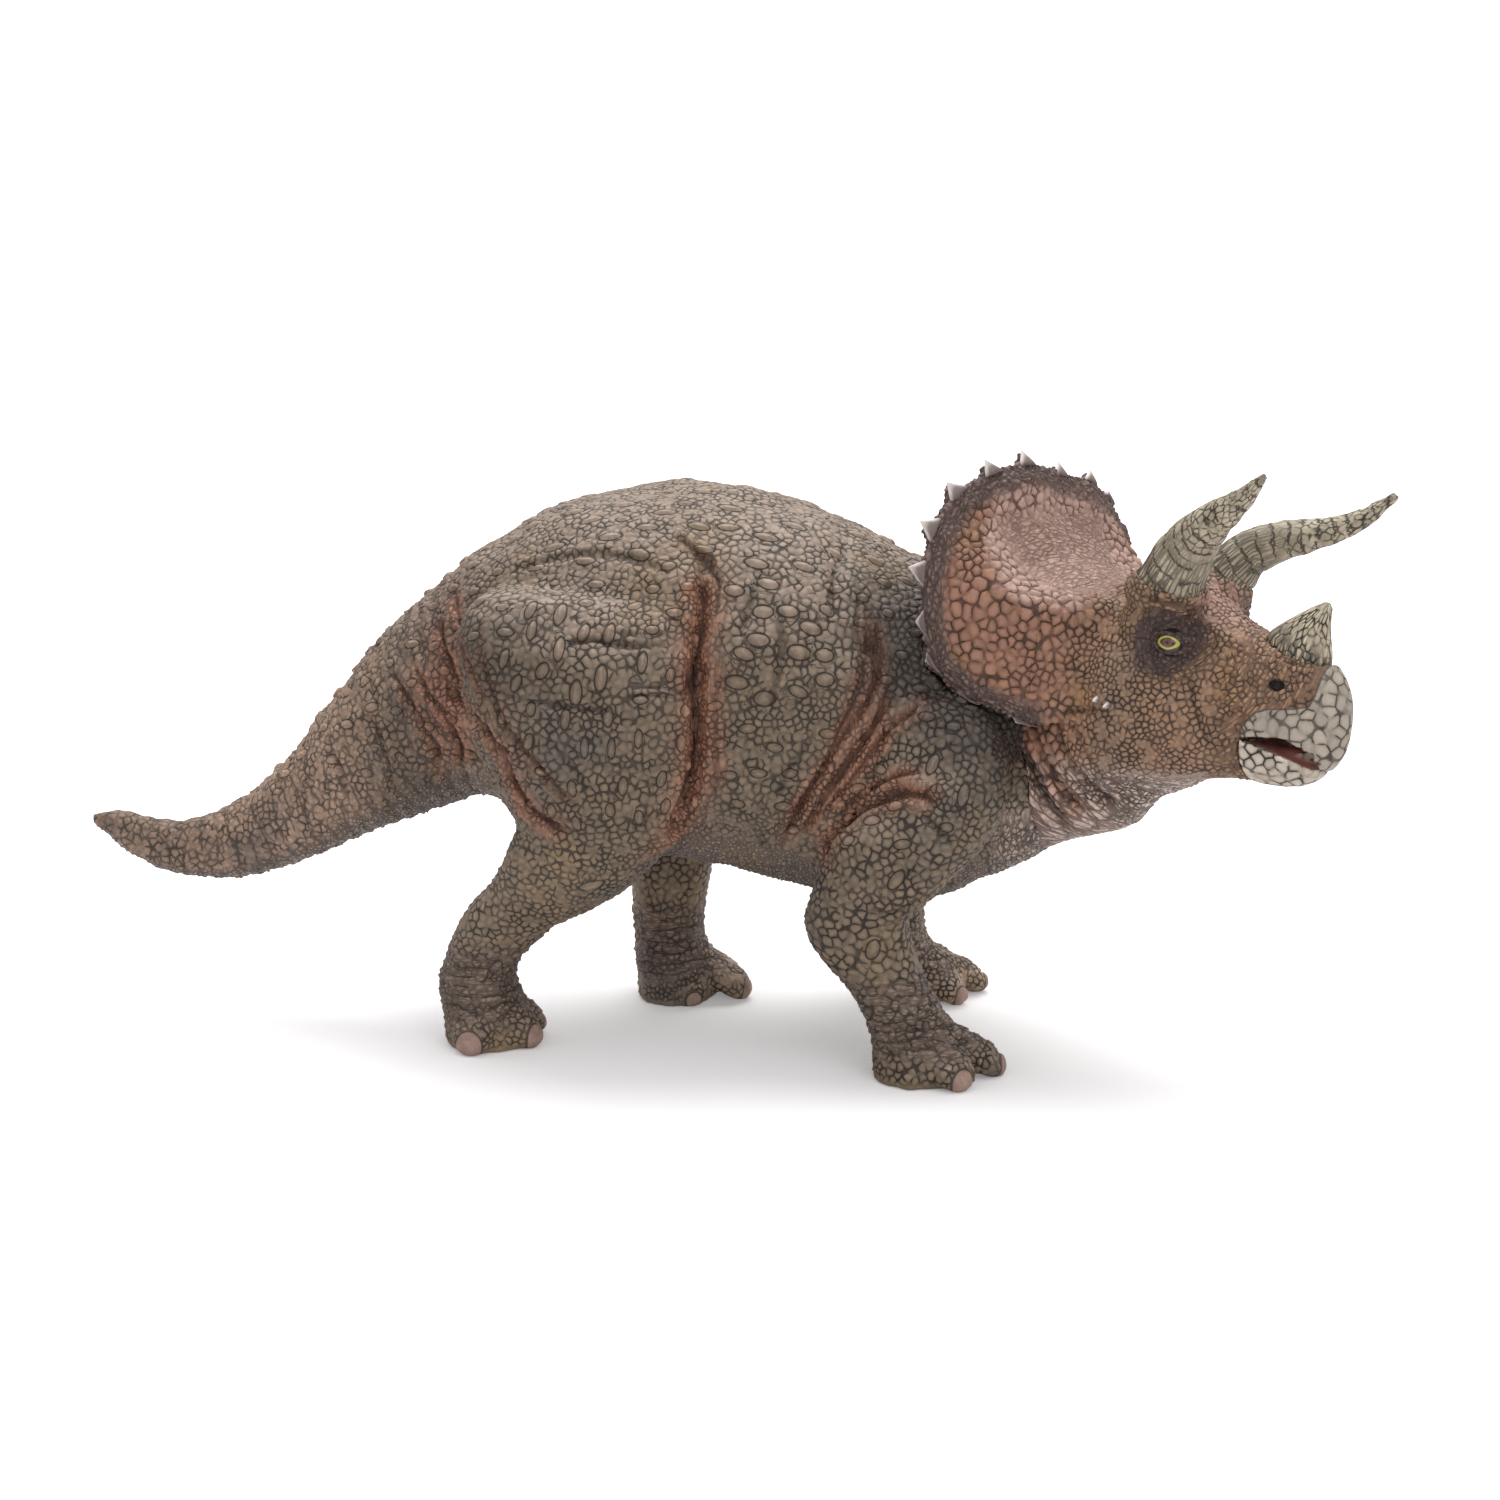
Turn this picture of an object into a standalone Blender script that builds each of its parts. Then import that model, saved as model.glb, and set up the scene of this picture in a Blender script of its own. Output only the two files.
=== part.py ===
"""A moulded horned dinosaur figure: torso, tail, head, lower jaw, three horns and four legs.

Each piece is a separate moulding with a peg that seats in a socket of its neighbour.
+X points to the animal's front, +Y to its left side and +Z up. The soles stand at Z = 0.
"""
import math

import bmesh
import bpy
from mathutils import Euler, Vector

MM = 0.001

# Trunk: its length is measured between the tail seam and the neck seam
TRUNK_LENGTH = 94.5 * MM
TRUNK_HEIGHT = 69.0 * MM
TRUNK_WIDTH = 60.0 * MM
BELLY_CLEARANCE = 24.7 * MM
SECTION_LEAN = math.radians(20)
# Rows from tail seam to neck seam: along, height of centre, depth, width, lean
TRUNK_SECTION_SHARES = [
    (0.000, 0.500, 0.545, 0.640, -0.51),
    (0.074, 0.522, 0.655, 0.760, -0.42),
    (0.164, 0.530, 0.787, 0.860, -0.31),
    (0.265, 0.540, 0.867, 0.950, -0.24),
    (0.386, 0.549, 0.900, 1.000, -0.18),
    (0.513, 0.527, 0.915, 1.010, -0.09),
    (0.644, 0.480, 0.896, 0.970, 0.00),
    (0.772, 0.428, 0.838, 0.860, -0.05),
    (0.873, 0.414, 0.755, 0.730, -0.11),
    (1.000, 0.428, 0.590, 0.590, -0.40),
]

# Tail: falls from the tail seam to the tip, with the seam's depth and width at its root
TAIL_LENGTH = 67.3 * MM
TAIL_FALL = 26.6 * MM
# Rows from seam to tip: along, fall, depth, width, lean
TAIL_SECTION_SHARES = [
    (0.100, 0.147, 0.904, 0.880, -0.53),
    (0.193, 0.325, 0.794, 0.745, -0.65),
    (0.293, 0.541, 0.637, 0.620, -0.87),
    (0.405, 0.786, 0.485, 0.487, -1.00),
    (0.513, 0.993, 0.378, 0.380, -0.98),
    (0.624, 1.117, 0.330, 0.308, -0.45),
    (0.749, 1.160, 0.249, 0.236, 0.35),
    (0.851, 1.132, 0.206, 0.180, 0.53),
    (0.944, 1.028, 0.122, 0.103, 0.60),
    (1.000, 1.000, 0.041, 0.031, 0.70),
]

# Neck stub, part of the head: from the neck seam into the skull, turning with the head
NECK_LENGTH = 18.0 * MM
NECK_TURN = 7.0 * MM
# Rows: along, fall of centre, turn to the right, depth, width, lean
NECK_SECTION_SHARES = [
    (0.25, 0.03, 0.12, 0.87, 0.97, -0.35),
    (0.65, 0.05, 0.45, 0.74, 0.92, -0.28),
    (1.00, 0.02, 0.90, 0.62, 0.84, -0.22),
    (1.30, -0.12, 1.20, 0.36, 0.60, -0.20),
]

# Roundness of the trunk's cross-section, and how much wider it is low down
BODY_ROUNDNESS = 2.3
BODY_SAG_SHARE = 0.07

# Pegs and sockets that hold the pieces together, with the gap left for glue
CLEARANCE = 0.3 * MM
LIMB_PEG_RADIUS = 5.0 * MM
LIMB_PEG_LENGTH = 9.0 * MM
BODY_PEG_RADIUS = 7.0 * MM
BODY_PEG_LENGTH = 10.0 * MM
JAW_PEG_RADIUS = 2.2 * MM
JAW_PEG_LENGTH = 5.0 * MM
LIMB_PEG_ROOT = 3.0 * MM
BODY_PEG_ROOT = 5.0 * MM
JAW_PEG_ROOT = 2.5 * MM
PEG_FLAT_SHARE = 0.7
OVERRUN = 2.0 * MM

# Hind legs: the haunch stands proud of the trunk's side
HAUNCH_LENGTH = 40.0 * MM
HAUNCH_BULGE = 5.0 * MM
HAUNCH_TOP_SHARE = 0.80
HIP_ALONG_SHARE = 0.25
HIP_PEG_SHARE = 0.70
# Rows from sole to haunch: height, back, front, inner side, outer side
NEAR_HIND_SHARES = [
    (-0.019, -0.645, -0.300, 0.150, 0.610),
    (0.060, -0.660, -0.310, 0.150, 0.610),
    (0.105, -0.680, -0.350, 0.170, 0.590),
    (0.140, -0.682, -0.365, 0.180, 0.580),
    (0.180, -0.660, -0.340, 0.190, 0.580),
    (0.225, -0.625, -0.283, 0.200, 0.600),
    (0.270, -0.583, -0.173, 0.220, 0.640),
    (0.310, -0.535, -0.023, 0.240, 0.690),
    (0.355, -0.445, 0.120, 0.260, 0.750),
    (0.405, -0.380, 0.225, 0.270, 0.810),
    (0.455, -0.335, 0.310, 0.280, 0.860),
    (0.510, -0.290, 0.390, 0.290, 0.910),
    (0.570, -0.370, 0.470, 0.300, 0.950),
    (0.680, -0.455, 0.540, 0.310, 0.990),
    (0.800, -0.505, 0.560, 0.320, 1.000),
    (0.890, -0.540, 0.550, 0.330, 0.950),
    (0.950, -0.510, 0.500, 0.350, 0.870),
    (0.985, -0.440, 0.420, 0.370, 0.790),
    (1.000, -0.340, 0.320, 0.400, 0.700),
]
FAR_HIND_SHARES = [
    (-0.019, 0.045, 0.375, 0.260, 0.740),
    (0.060, 0.045, 0.370, 0.270, 0.740),
    (0.117, 0.035, 0.330, 0.280, 0.710),
    (0.160, 0.025, 0.320, 0.285, 0.700),
    (0.215, 0.015, 0.330, 0.285, 0.700),
    (0.265, 0.015, 0.350, 0.280, 0.710),
    (0.320, 0.000, 0.375, 0.280, 0.740),
    (0.380, -0.070, 0.420, 0.280, 0.790),
    (0.450, -0.180, 0.460, 0.290, 0.860),
    (0.560, -0.310, 0.500, 0.300, 0.940),
    (0.680, -0.420, 0.540, 0.310, 0.990),
    (0.800, -0.490, 0.560, 0.320, 1.000),
    (0.890, -0.530, 0.550, 0.330, 0.950),
    (0.950, -0.510, 0.500, 0.350, 0.870),
    (0.985, -0.440, 0.420, 0.370, 0.790),
    (1.000, -0.340, 0.320, 0.400, 0.700),
]

# Front legs: the shoulder stands proud of the chest
SHOULDER_LENGTH = 30.0 * MM
SHOULDER_BULGE = 2.5 * MM
SHOULDER_TOP_SHARE = 0.57
SHOULDER_ALONG_SHARE = 0.80
SHOULDER_PEG_SHARE = 0.66
NEAR_FRONT_SHARES = [
    (-0.023, -0.150, 0.350, 0.450, 0.950),
    (0.063, -0.152, 0.345, 0.450, 0.950),
    (0.117, -0.160, 0.270, 0.460, 0.930),
    (0.172, -0.200, 0.208, 0.460, 0.920),
    (0.234, -0.290, 0.128, 0.460, 0.900),
    (0.297, -0.405, 0.088, 0.460, 0.910),
    (0.360, -0.505, 0.045, 0.450, 0.930),
    (0.422, -0.545, 0.025, 0.440, 0.970),
    (0.485, -0.490, 0.170, 0.430, 1.000),
    (0.562, -0.450, 0.320, 0.420, 1.020),
    (0.656, -0.395, 0.490, 0.400, 1.020),
    (0.760, -0.190, 0.580, 0.390, 0.970),
    (0.850, -0.160, 0.580, 0.380, 0.900),
    (0.925, -0.160, 0.500, 0.380, 0.850),
    (0.970, -0.140, 0.380, 0.390, 0.810),
    (1.000, -0.060, 0.260, 0.410, 0.750),
]
FAR_FRONT_SHARES = [
    (-0.023, -0.330, 0.085, 0.450, 0.950),
    (0.063, -0.330, 0.080, 0.450, 0.950),
    (0.117, -0.325, 0.030, 0.460, 0.930),
    (0.172, -0.330, -0.020, 0.460, 0.920),
    (0.234, -0.360, -0.040, 0.460, 0.900),
    (0.297, -0.420, -0.030, 0.460, 0.910),
    (0.360, -0.490, 0.010, 0.450, 0.930),
    (0.422, -0.520, 0.060, 0.440, 0.970),
    (0.485, -0.480, 0.190, 0.430, 1.000),
    (0.562, -0.440, 0.320, 0.420, 1.020),
    (0.656, -0.390, 0.480, 0.400, 1.020),
    (0.760, -0.190, 0.560, 0.390, 0.970),
    (0.850, -0.160, 0.560, 0.380, 0.900),
    (0.925, -0.160, 0.490, 0.380, 0.850),
    (0.970, -0.140, 0.380, 0.390, 0.810),
    (1.000, -0.060, 0.260, 0.410, 0.750),
]
LEG_ROUNDNESS = 2.4

# Skin folds: grooves along lines on both flanks, fading out at their ends
FOLD_WIDTH = 2.6 * MM
FOLD_DEPTH = 1.3 * MM
FOLD_FADE_SHARE = 0.3
# Lines on the trunk: places along it and up its height
TRUNK_FOLD_SHARES = [
    [(0.386, 0.925), (0.430, 0.895), (0.474, 0.845), (0.481, 0.750)],
    [(0.544, 0.841), (0.535, 0.771), (0.526, 0.714)],
    [(0.591, 0.777), (0.595, 0.693), (0.577, 0.551)],
    [(0.680, 0.890), (0.672, 0.845), (0.669, 0.786), (0.674, 0.730)],
    [(0.745, 0.780), (0.752, 0.650), (0.727, 0.536), (0.676, 0.425)],
    [(0.790, 0.600), (0.728, 0.459), (0.659, 0.317), (0.620, 0.225)],
]
# Lines on a haunch: places along it and up it
HAUNCH_FOLD_SHARES = [
    [(-0.225, 0.806), (-0.132, 0.797), (0.018, 0.791), (0.181, 0.787)],
    [(-0.057, 0.914), (0.068, 0.924), (0.213, 0.916), (0.300, 0.915)],
    [(0.036, 0.678), (0.148, 0.675), (0.290, 0.677)],
    [(-0.370, 0.849), (-0.264, 0.722), (-0.057, 0.603), (0.026, 0.578)],
    [(-0.345, 0.690), (-0.274, 0.637), (-0.107, 0.533), (-0.012, 0.508)],
]

# Toes: each ends in a hoof with a ledge round its root
TOE_WIDTH = 6.2 * MM
TOE_HEIGHT = 5.4 * MM
HIND_TOE_REACH = 13.0 * MM
FRONT_TOE_REACH = 14.5 * MM
# Rows along a toe: along, rise of its centre, thickness
TOE_SECTION_SHARES = [
    (0.00, 1.30, 0.95),
    (0.35, 1.10, 1.10),
    (0.58, 0.75, 1.08),
    (0.66, 0.62, 0.98),
    (0.68, 0.60, 1.08),
    (0.82, 0.47, 1.00),
    (0.94, 0.32, 0.72),
    (1.00, 0.24, 0.34),
]
# Rows of each foot: direction in degrees, reach, thickness
NEAR_HIND_TOE_SHARES = [(-97, 0.82, 1.10), (-22, 0.80, 1.10), (38, 0.84, 0.95), (80, 0.72, 0.80)]
FAR_HIND_TOE_SHARES = [(-62, 0.72, 0.90), (-6, 1.02, 1.10), (38, 0.98, 1.00), (85, 0.75, 0.85)]
NEAR_FRONT_TOE_SHARES = [(-95, 0.62, 0.75), (-45, 0.84, 1.10), (8, 1.00, 1.10), (55, 0.85, 0.95)]
FAR_FRONT_TOE_SHARES = [(-75, 0.66, 0.80), (-28, 0.82, 1.00), (18, 0.98, 1.05), (60, 0.85, 0.95)]

# Head: its frame is turned to the right and rolled, at a point behind the cheeks
HEAD_AHEAD = 11.0 * MM
HEAD_ABOVE = 6.75 * MM
HEAD_ASIDE = 5.0 * MM
HEAD_TURN = math.radians(-30.5)
HEAD_ROLL = math.radians(-8)
SKULL_LENGTH = 48.0 * MM
SKULL_HEIGHT = 38.0 * MM
CHEEK_WIDTH = 32.0 * MM
SKULL_ROUNDNESS = 2.2
# Rows from the back of the skull to the beak: along, top, bottom, width, taper to the crown
SKULL_SECTION_SHARES = [
    (-0.160, 0.280, -0.340, 0.70, 0.10),
    (0.000, 0.440, -0.430, 0.90, 0.20),
    (0.160, 0.530, -0.430, 1.00, 0.26),
    (0.300, 0.560, -0.370, 1.00, 0.28),
    (0.410, 0.550, -0.300, 0.90, 0.24),
    (0.520, 0.458, -0.255, 0.74, 0.30),
    (0.620, 0.405, -0.232, 0.60, 0.20),
    (0.740, 0.375, -0.238, 0.49, 0.10),
    (0.850, 0.345, -0.222, 0.40, 0.08),
    (0.925, 0.295, -0.166, 0.29, 0.05),
    (0.975, 0.215, -0.085, 0.17, 0.00),
    (1.000, 0.095, 0.005, 0.05, 0.00),
]
BROW_SIZE = 8.0 * MM
BROW_PLACE_SHARES = (0.335, 0.265, 0.370)
BROW_FORM_SHARES = (0.80, 0.68, 0.95)
EYE_RADIUS = 2.6 * MM
EYE_PLACE_SHARES = (0.437, 0.355, 0.325)
NOSTRIL_RADIUS = 1.2 * MM
NOSTRIL_PLACE_SHARES = (0.790, 0.215, 0.205)
CHEEK_STUD_SIZE = 1.7 * MM
CHEEK_STUD_PLACE_SHARES = (0.255, 0.495, 0.060)

# Mouth: the lower jaw is a piece of its own behind the hooked tip of the upper beak
# Points of the skull's edge over the mouth, from its corner: along, height
UPPER_LIP_SHARES = [(0.690, -0.030), (0.740, -0.015), (0.820, -0.010), (0.890, -0.045), (0.935, -0.085)]
# Points of the jaw's upper edge, from the corner: along, height
LOWER_LIP_SHARES = [(0.690, -0.040), (0.740, -0.055), (0.820, -0.085), (0.880, -0.110), (0.915, -0.135)]
JAW_PEG_HEIGHT_SHARE = -0.140
TONGUE_WIDTH = 5.0 * MM
TONGUE_FORM_SHARES = (0.88, 0.50, 0.20)
TONGUE_PLACE_SHARES = (0.800, 0.000, -0.080)

# Frill: ribs run from the skull to the rim, from the cheek corner up to the crown
FRILL_SWEEP = 20.0 * MM
FRILL_WIDTH = 57.0 * MM
FRILL_HEIGHT = 37.0 * MM
FRILL_THICKNESS = 3.0 * MM
RIM_THICKNESS_SHARE = 0.6
# Rows: rim back, side and height, then middle of the rib, then its root in the skull
FRILL_RIB_SHARES = [
    (-0.02, 0.350, -0.090, 0.28, 0.310, -0.060, 0.50, 0.180, -0.080),
    (-0.45, 0.425, -0.010, 0.06, 0.365, 0.030, 0.45, 0.200, 0.020),
    (-0.72, 0.475, 0.130, -0.06, 0.400, 0.150, 0.45, 0.200, 0.140),
    (-0.78, 0.508, 0.300, -0.10, 0.400, 0.290, 0.45, 0.180, 0.280),
    (-0.81, 0.515, 0.520, -0.14, 0.385, 0.420, 0.45, 0.160, 0.400),
    (-0.81, 0.485, 0.710, -0.20, 0.315, 0.530, 0.45, 0.135, 0.440),
    (-0.80, 0.388, 0.870, -0.28, 0.200, 0.580, 0.45, 0.100, 0.460),
    (-0.74, 0.250, 0.965, -0.28, 0.110, 0.620, 0.45, 0.055, 0.470),
    (-0.73, 0.088, 1.000, -0.28, 0.036, 0.640, 0.45, 0.020, 0.480),
]
# The left side of the frill stands a little lower than the right side
FRILL_LEFT_SHARE = 0.95
STUD_WIDTH = 6.0 * MM
STUD_DEPTH = 3.4 * MM
STUD_LENGTH = 5.6 * MM
STUD_SUNK_SHARE = 0.60
# Blunt sides of a stud: size at a place along it
STUD_SHOULDER_SHARES = (0.72, 0.56)

# Brow horns: the right one rises, the left one leans forward before it turns up
HORN_RADIUS = 5.5 * MM
HORN_LENGTH = 31.0 * MM
HORN_SEAT = 3.5 * MM
COLLAR_WALL = 1.4 * MM
COLLAR_FORM_SHARES = (1.00, 1.00, 0.80)
HORN_ROOT_SHARES = (0.345, 0.235, 0.515)
# Rows from the root: forward, outward and up in the horn's length, then thickness
RIGHT_HORN_SHARES = [
    (0.00, 0.00, 0.00, 1.02),
    (0.08, 0.05, 0.14, 0.92),
    (0.19, 0.10, 0.29, 0.77),
    (0.38, 0.19, 0.44, 0.52),
    (0.59, 0.28, 0.57, 0.29),
    (0.73, 0.34, 0.70, 0.10),
]
LEFT_HORN_SHARES = [
    (0.00, 0.00, 0.00, 0.88),
    (0.06, 0.04, 0.12, 0.78),
    (0.15, 0.08, 0.23, 0.66),
    (0.31, 0.16, 0.31, 0.55),
    (0.49, 0.24, 0.37, 0.40),
    (0.66, 0.31, 0.46, 0.27),
    (0.82, 0.34, 0.60, 0.10),
]

NOSE_HORN_LENGTH = 12.0 * MM
NOSE_HORN_WIDTH = 7.0 * MM
NOSE_HORN_HEIGHT = 7.2 * MM
NOSE_HORN_TILT = math.radians(14)
NOSE_HORN_ROOT_SHARES = (0.792, 0.370)
# Rows from root to tip: height, forward, size
NOSE_HORN_SHARES = [(-0.30, -0.02, 1.00), (0.00, 0.00, 0.97), (0.25, 0.07, 0.76), (0.50, 0.15, 0.54),
                    (0.75, 0.25, 0.33), (0.92, 0.33, 0.17), (1.00, 0.36, 0.07)]

# Facets: how finely the round forms are divided
BODY_SIDES = 28
BODY_STEPS = 2
LEG_SIDES = 20
TOE_SIDES = 10
SKULL_SIDES = 24
HORN_SIDES = 12
HORN_STEPS = 2
STUD_SIDES = 8
PEG_SIDES = 16
FRILL_STEPS = 2
RIB_STEPS = 4
SHARP_ANGLE = math.radians(35)


def clear_scene():
    """Start from an empty scene."""
    for thing in list(bpy.data.objects):
        bpy.data.objects.remove(thing)


def painted(name, colour, roughness):
    """Painted PVC of one colour."""
    material = bpy.data.materials.new(name)
    material.use_nodes = True
    shader = material.node_tree.nodes["Principled BSDF"]
    shader.inputs["Base Color"].default_value = (*colour, 1)
    shader.inputs["Roughness"].default_value = roughness
    shader.inputs["Metallic"].default_value = 0
    return material


def add_object(name, mesh, material=None, parent=None):
    """Link a mesh to the scene as a smooth-shaded object."""
    thing = bpy.data.objects.new(name, mesh)
    bpy.context.scene.collection.objects.link(thing)
    thing.parent = parent
    mesh.shade_smooth()
    mesh.set_sharp_from_angle(angle=SHARP_ANGLE)
    if material:
        mesh.materials.append(material)
    return thing


def as_tool(thing):
    """A shape that only cuts or joins others."""
    thing.hide_render = True
    thing.display_type = "WIRE"
    return thing


def combine(target, tool, operation, crossing=False):
    """Boolean modifier that cuts the tool from the target or joins it on."""
    step = target.modifiers.new(operation.lower() + " " + tool.name, "BOOLEAN")
    step.operation = operation
    step.object = tool
    step.solver = "EXACT"
    step.use_self = crossing
    as_tool(tool)


def spread(rows, steps):
    """Rows of numbers with smooth rows put between them."""
    result = []
    for index in range(len(rows) - 1):
        before = rows[max(index - 1, 0)]
        start, end = rows[index], rows[index + 1]
        after = rows[min(index + 2, len(rows) - 1)]
        for step in range(steps):
            t = step / steps
            result.append(tuple(
                0.5 * (2 * b + (c - a) * t + (2 * a - 5 * b + 4 * c - d) * t ** 2
                       + (3 * b - a - 3 * c + d) * t ** 3)
                for a, b, c, d in zip(before, start, end, after)))
    result.append(tuple(rows[-1]))
    return result


def rounded(value, roundness):
    """Sine or cosine of a superellipse: 2 gives an ellipse, more gives fuller corners."""
    return math.copysign(abs(value) ** (2 / roundness), value)


def turns(sides):
    """Angles round one ring."""
    return [math.tau * index / sides for index in range(sides)]


def loft(name, rings, material=None, parent=None):
    """Closed solid through a list of rings, with flat ends."""
    shape = bmesh.new()
    rows = [[shape.verts.new(point) for point in ring] for ring in rings]
    sides = len(rows[0])
    for low, high in zip(rows, rows[1:]):
        for index in range(sides):
            other = (index + 1) % sides
            shape.faces.new((low[index], low[other], high[other], high[index]))
    shape.faces.new(reversed(rows[0]))
    shape.faces.new(rows[-1])
    bmesh.ops.recalc_face_normals(shape, faces=shape.faces)
    mesh = bpy.data.meshes.new(name)
    shape.to_mesh(mesh)
    shape.free()
    return add_object(name, mesh, material, parent)


def ball(name, place, radii, parent, fineness=2):
    """Ellipsoid that swells or hollows a larger form."""
    shape = bmesh.new()
    bmesh.ops.create_icosphere(shape, subdivisions=fineness, radius=1)
    bmesh.ops.scale(shape, vec=radii, verts=shape.verts)
    bmesh.ops.translate(shape, vec=place, verts=shape.verts)
    mesh = bpy.data.meshes.new(name)
    shape.to_mesh(mesh)
    shape.free()
    return as_tool(add_object(name, mesh, parent=parent))


def peg(name, start, direction, radius, length, parent, gap=0):
    """Peg with a flat that keeps it from turning, or its socket when it has a gap."""
    axis = direction.normalized()
    across = axis.orthogonal().normalized()
    upward = axis.cross(across)
    ring = []
    for turn in turns(PEG_SIDES):
        side = math.cos(turn) * (radius + gap)
        rise = min(math.sin(turn) * (radius + gap), radius * PEG_FLAT_SHARE + gap)
        ring.append(across * side + upward * rise)
    ends = (start - axis * gap, start + axis * (length + gap))
    return as_tool(loft(name, [[end + point for point in ring] for end in ends], parent=parent))


# Body: one run of sections from the tail's tip to the skull

def trunk_sections():
    """Sections of the trunk: x, y, z, depth, width, lean."""
    return [(TRUNK_LENGTH * (along - 0.5), 0, BELLY_CLEARANCE + TRUNK_HEIGHT * height,
             TRUNK_HEIGHT * depth, TRUNK_WIDTH * width, SECTION_LEAN * lean)
            for along, height, depth, width, lean in TRUNK_SECTION_SHARES]


def tail_sections():
    """Sections of the tail from its tip to the one before the seam."""
    x, y, z, deep, wide, _ = trunk_sections()[0]
    return [(x - TAIL_LENGTH * along, y, z - TAIL_FALL * fall, deep * depth, wide * width,
             SECTION_LEAN * lean)
            for along, fall, depth, width, lean in reversed(TAIL_SECTION_SHARES)]


def neck_sections():
    """Sections of the neck stub after the seam."""
    x, y, z, deep, wide, _ = trunk_sections()[-1]
    return [(x + NECK_LENGTH * along, y - NECK_TURN * turn, z - NECK_LENGTH * fall, deep * depth,
             wide * width, SECTION_LEAN * lean)
            for along, fall, turn, depth, width, lean in NECK_SECTION_SHARES]


def trunk_width(x):
    """Width of the trunk at one place along it."""
    rows = trunk_sections()
    for low, high in zip(rows, rows[1:]):
        if low[0] <= x <= high[0]:
            return low[4] + (high[4] - low[4]) * (x - low[0]) / (high[0] - low[0])
    return rows[-1][4]


def section_normal(section):
    """Direction in which a section faces, towards the head."""
    lean = section[5]
    return Vector((math.cos(lean), 0, -math.sin(lean)))


def section_ring(section, grow=0, shift=0):
    """Ring of points round one section of the body."""
    x, y, z, depth, width, lean = section
    centre = Vector((x, y, z)) + section_normal(section) * shift
    ring = []
    for turn in turns(BODY_SIDES):
        rise = rounded(math.sin(turn), BODY_ROUNDNESS) * (depth / 2 + grow)
        side = rounded(math.cos(turn), BODY_ROUNDNESS) * (width / 2 + grow)
        side *= 1 - BODY_SAG_SHARE * math.sin(turn)
        ring.append(centre + Vector((rise * math.sin(lean), side, rise * math.cos(lean))))
    return ring


def body_rows(part):
    """Smooth sections of the tail, the trunk or the neck, cut from one shared run."""
    tail, trunk, neck = tail_sections(), trunk_sections(), neck_sections()
    run = spread(tail + trunk + neck, BODY_STEPS)
    first = len(tail) * BODY_STEPS
    last = first + (len(trunk) - 1) * BODY_STEPS
    return {"tail": run[:first + 1], "trunk": run[first:last + 1], "neck": run[last:]}[part]


def trunk_shape(name, grow, material, parent):
    """The trunk's form, grown on all sides when it cuts a seat into its neighbours."""
    rows = body_rows("trunk")
    rings = [section_ring(row, grow) for row in rows[1:-1]]
    rings.insert(0, section_ring(rows[0], grow, -grow))
    rings.append(section_ring(rows[-1], grow, grow))
    return loft(name, rings, material, parent)


def seam_peg(name, part, root, gap=0):
    """Peg at the tail seam or the neck seam, pointing into the trunk."""
    rows = body_rows("trunk")
    section, sign = (rows[0], 1) if part == "tail" else (rows[-1], -1)
    axis = section_normal(section) * sign
    start = Vector(section[:3]) - axis * BODY_PEG_ROOT
    return peg(name, start, axis, BODY_PEG_RADIUS, BODY_PEG_ROOT + BODY_PEG_LENGTH, root, gap)


def make_tail(root, material):
    """Tail with the peg that enters the hips."""
    rows = body_rows("tail")
    rings = [section_ring(row) for row in rows[:-1]]
    rings.append(section_ring(rows[-1], 0, -CLEARANCE))
    tail = loft("tail", rings, material, root)
    combine(tail, seam_peg("tail_peg", "tail", root), "UNION")
    return tail


# Legs: rings lie flat, from under the sole up into the flank

def half_reach(bulge):
    """How far a limb's outer face stands from the middle of the body."""
    return TRUNK_WIDTH / 2 + bulge


def limb_values(kind):
    """Place and sizes of a hind or front limb."""
    if kind == "hind":
        along, top, bulge, length = HIP_ALONG_SHARE, HAUNCH_TOP_SHARE, HAUNCH_BULGE, HAUNCH_LENGTH
        peg_share, toe_reach = HIP_PEG_SHARE, HIND_TOE_REACH
    else:
        along, top, bulge, length = (SHOULDER_ALONG_SHARE, SHOULDER_TOP_SHARE, SHOULDER_BULGE,
                                     SHOULDER_LENGTH)
        peg_share, toe_reach = SHOULDER_PEG_SHARE, FRONT_TOE_REACH
    return {"x": TRUNK_LENGTH * (along - 0.5), "height": BELLY_CLEARANCE + TRUNK_HEIGHT * top,
            "reach": half_reach(bulge), "length": length, "peg": peg_share, "toe": toe_reach}


def leg_ring(row, limb, side):
    """Flat ring of a leg at one height."""
    height, back, front, inner, outer = row
    middle = limb["x"] + limb["length"] * (back + front) / 2
    aside = side * limb["reach"] * (inner + outer) / 2
    half_long = limb["length"] * (front - back) / 2
    half_wide = limb["reach"] * (outer - inner) / 2
    return [Vector((middle + rounded(math.cos(turn), LEG_ROUNDNESS) * half_long,
                    aside + rounded(math.sin(turn), LEG_ROUNDNESS) * half_wide,
                    limb["height"] * height)) for turn in turns(LEG_SIDES)]


def toe(name, centre, direction, reach, size, parent):
    """One toe with its hoof, pointing away from the foot's centre."""
    ahead = Vector((math.cos(direction), math.sin(direction), 0))
    across = Vector((-ahead.y, ahead.x, 0))
    rings = []
    for along, rise, thick in TOE_SECTION_SHARES:
        middle = centre + ahead * reach * along + Vector((0, 0, TOE_HEIGHT * size * rise))
        rings.append([middle + across * math.cos(turn) * TOE_WIDTH * size * thick / 2
                      + Vector((0, 0, math.sin(turn) * TOE_HEIGHT * size * thick / 2))
                      for turn in turns(TOE_SIDES)])
    return as_tool(loft(name, rings, parent=parent))


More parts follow.
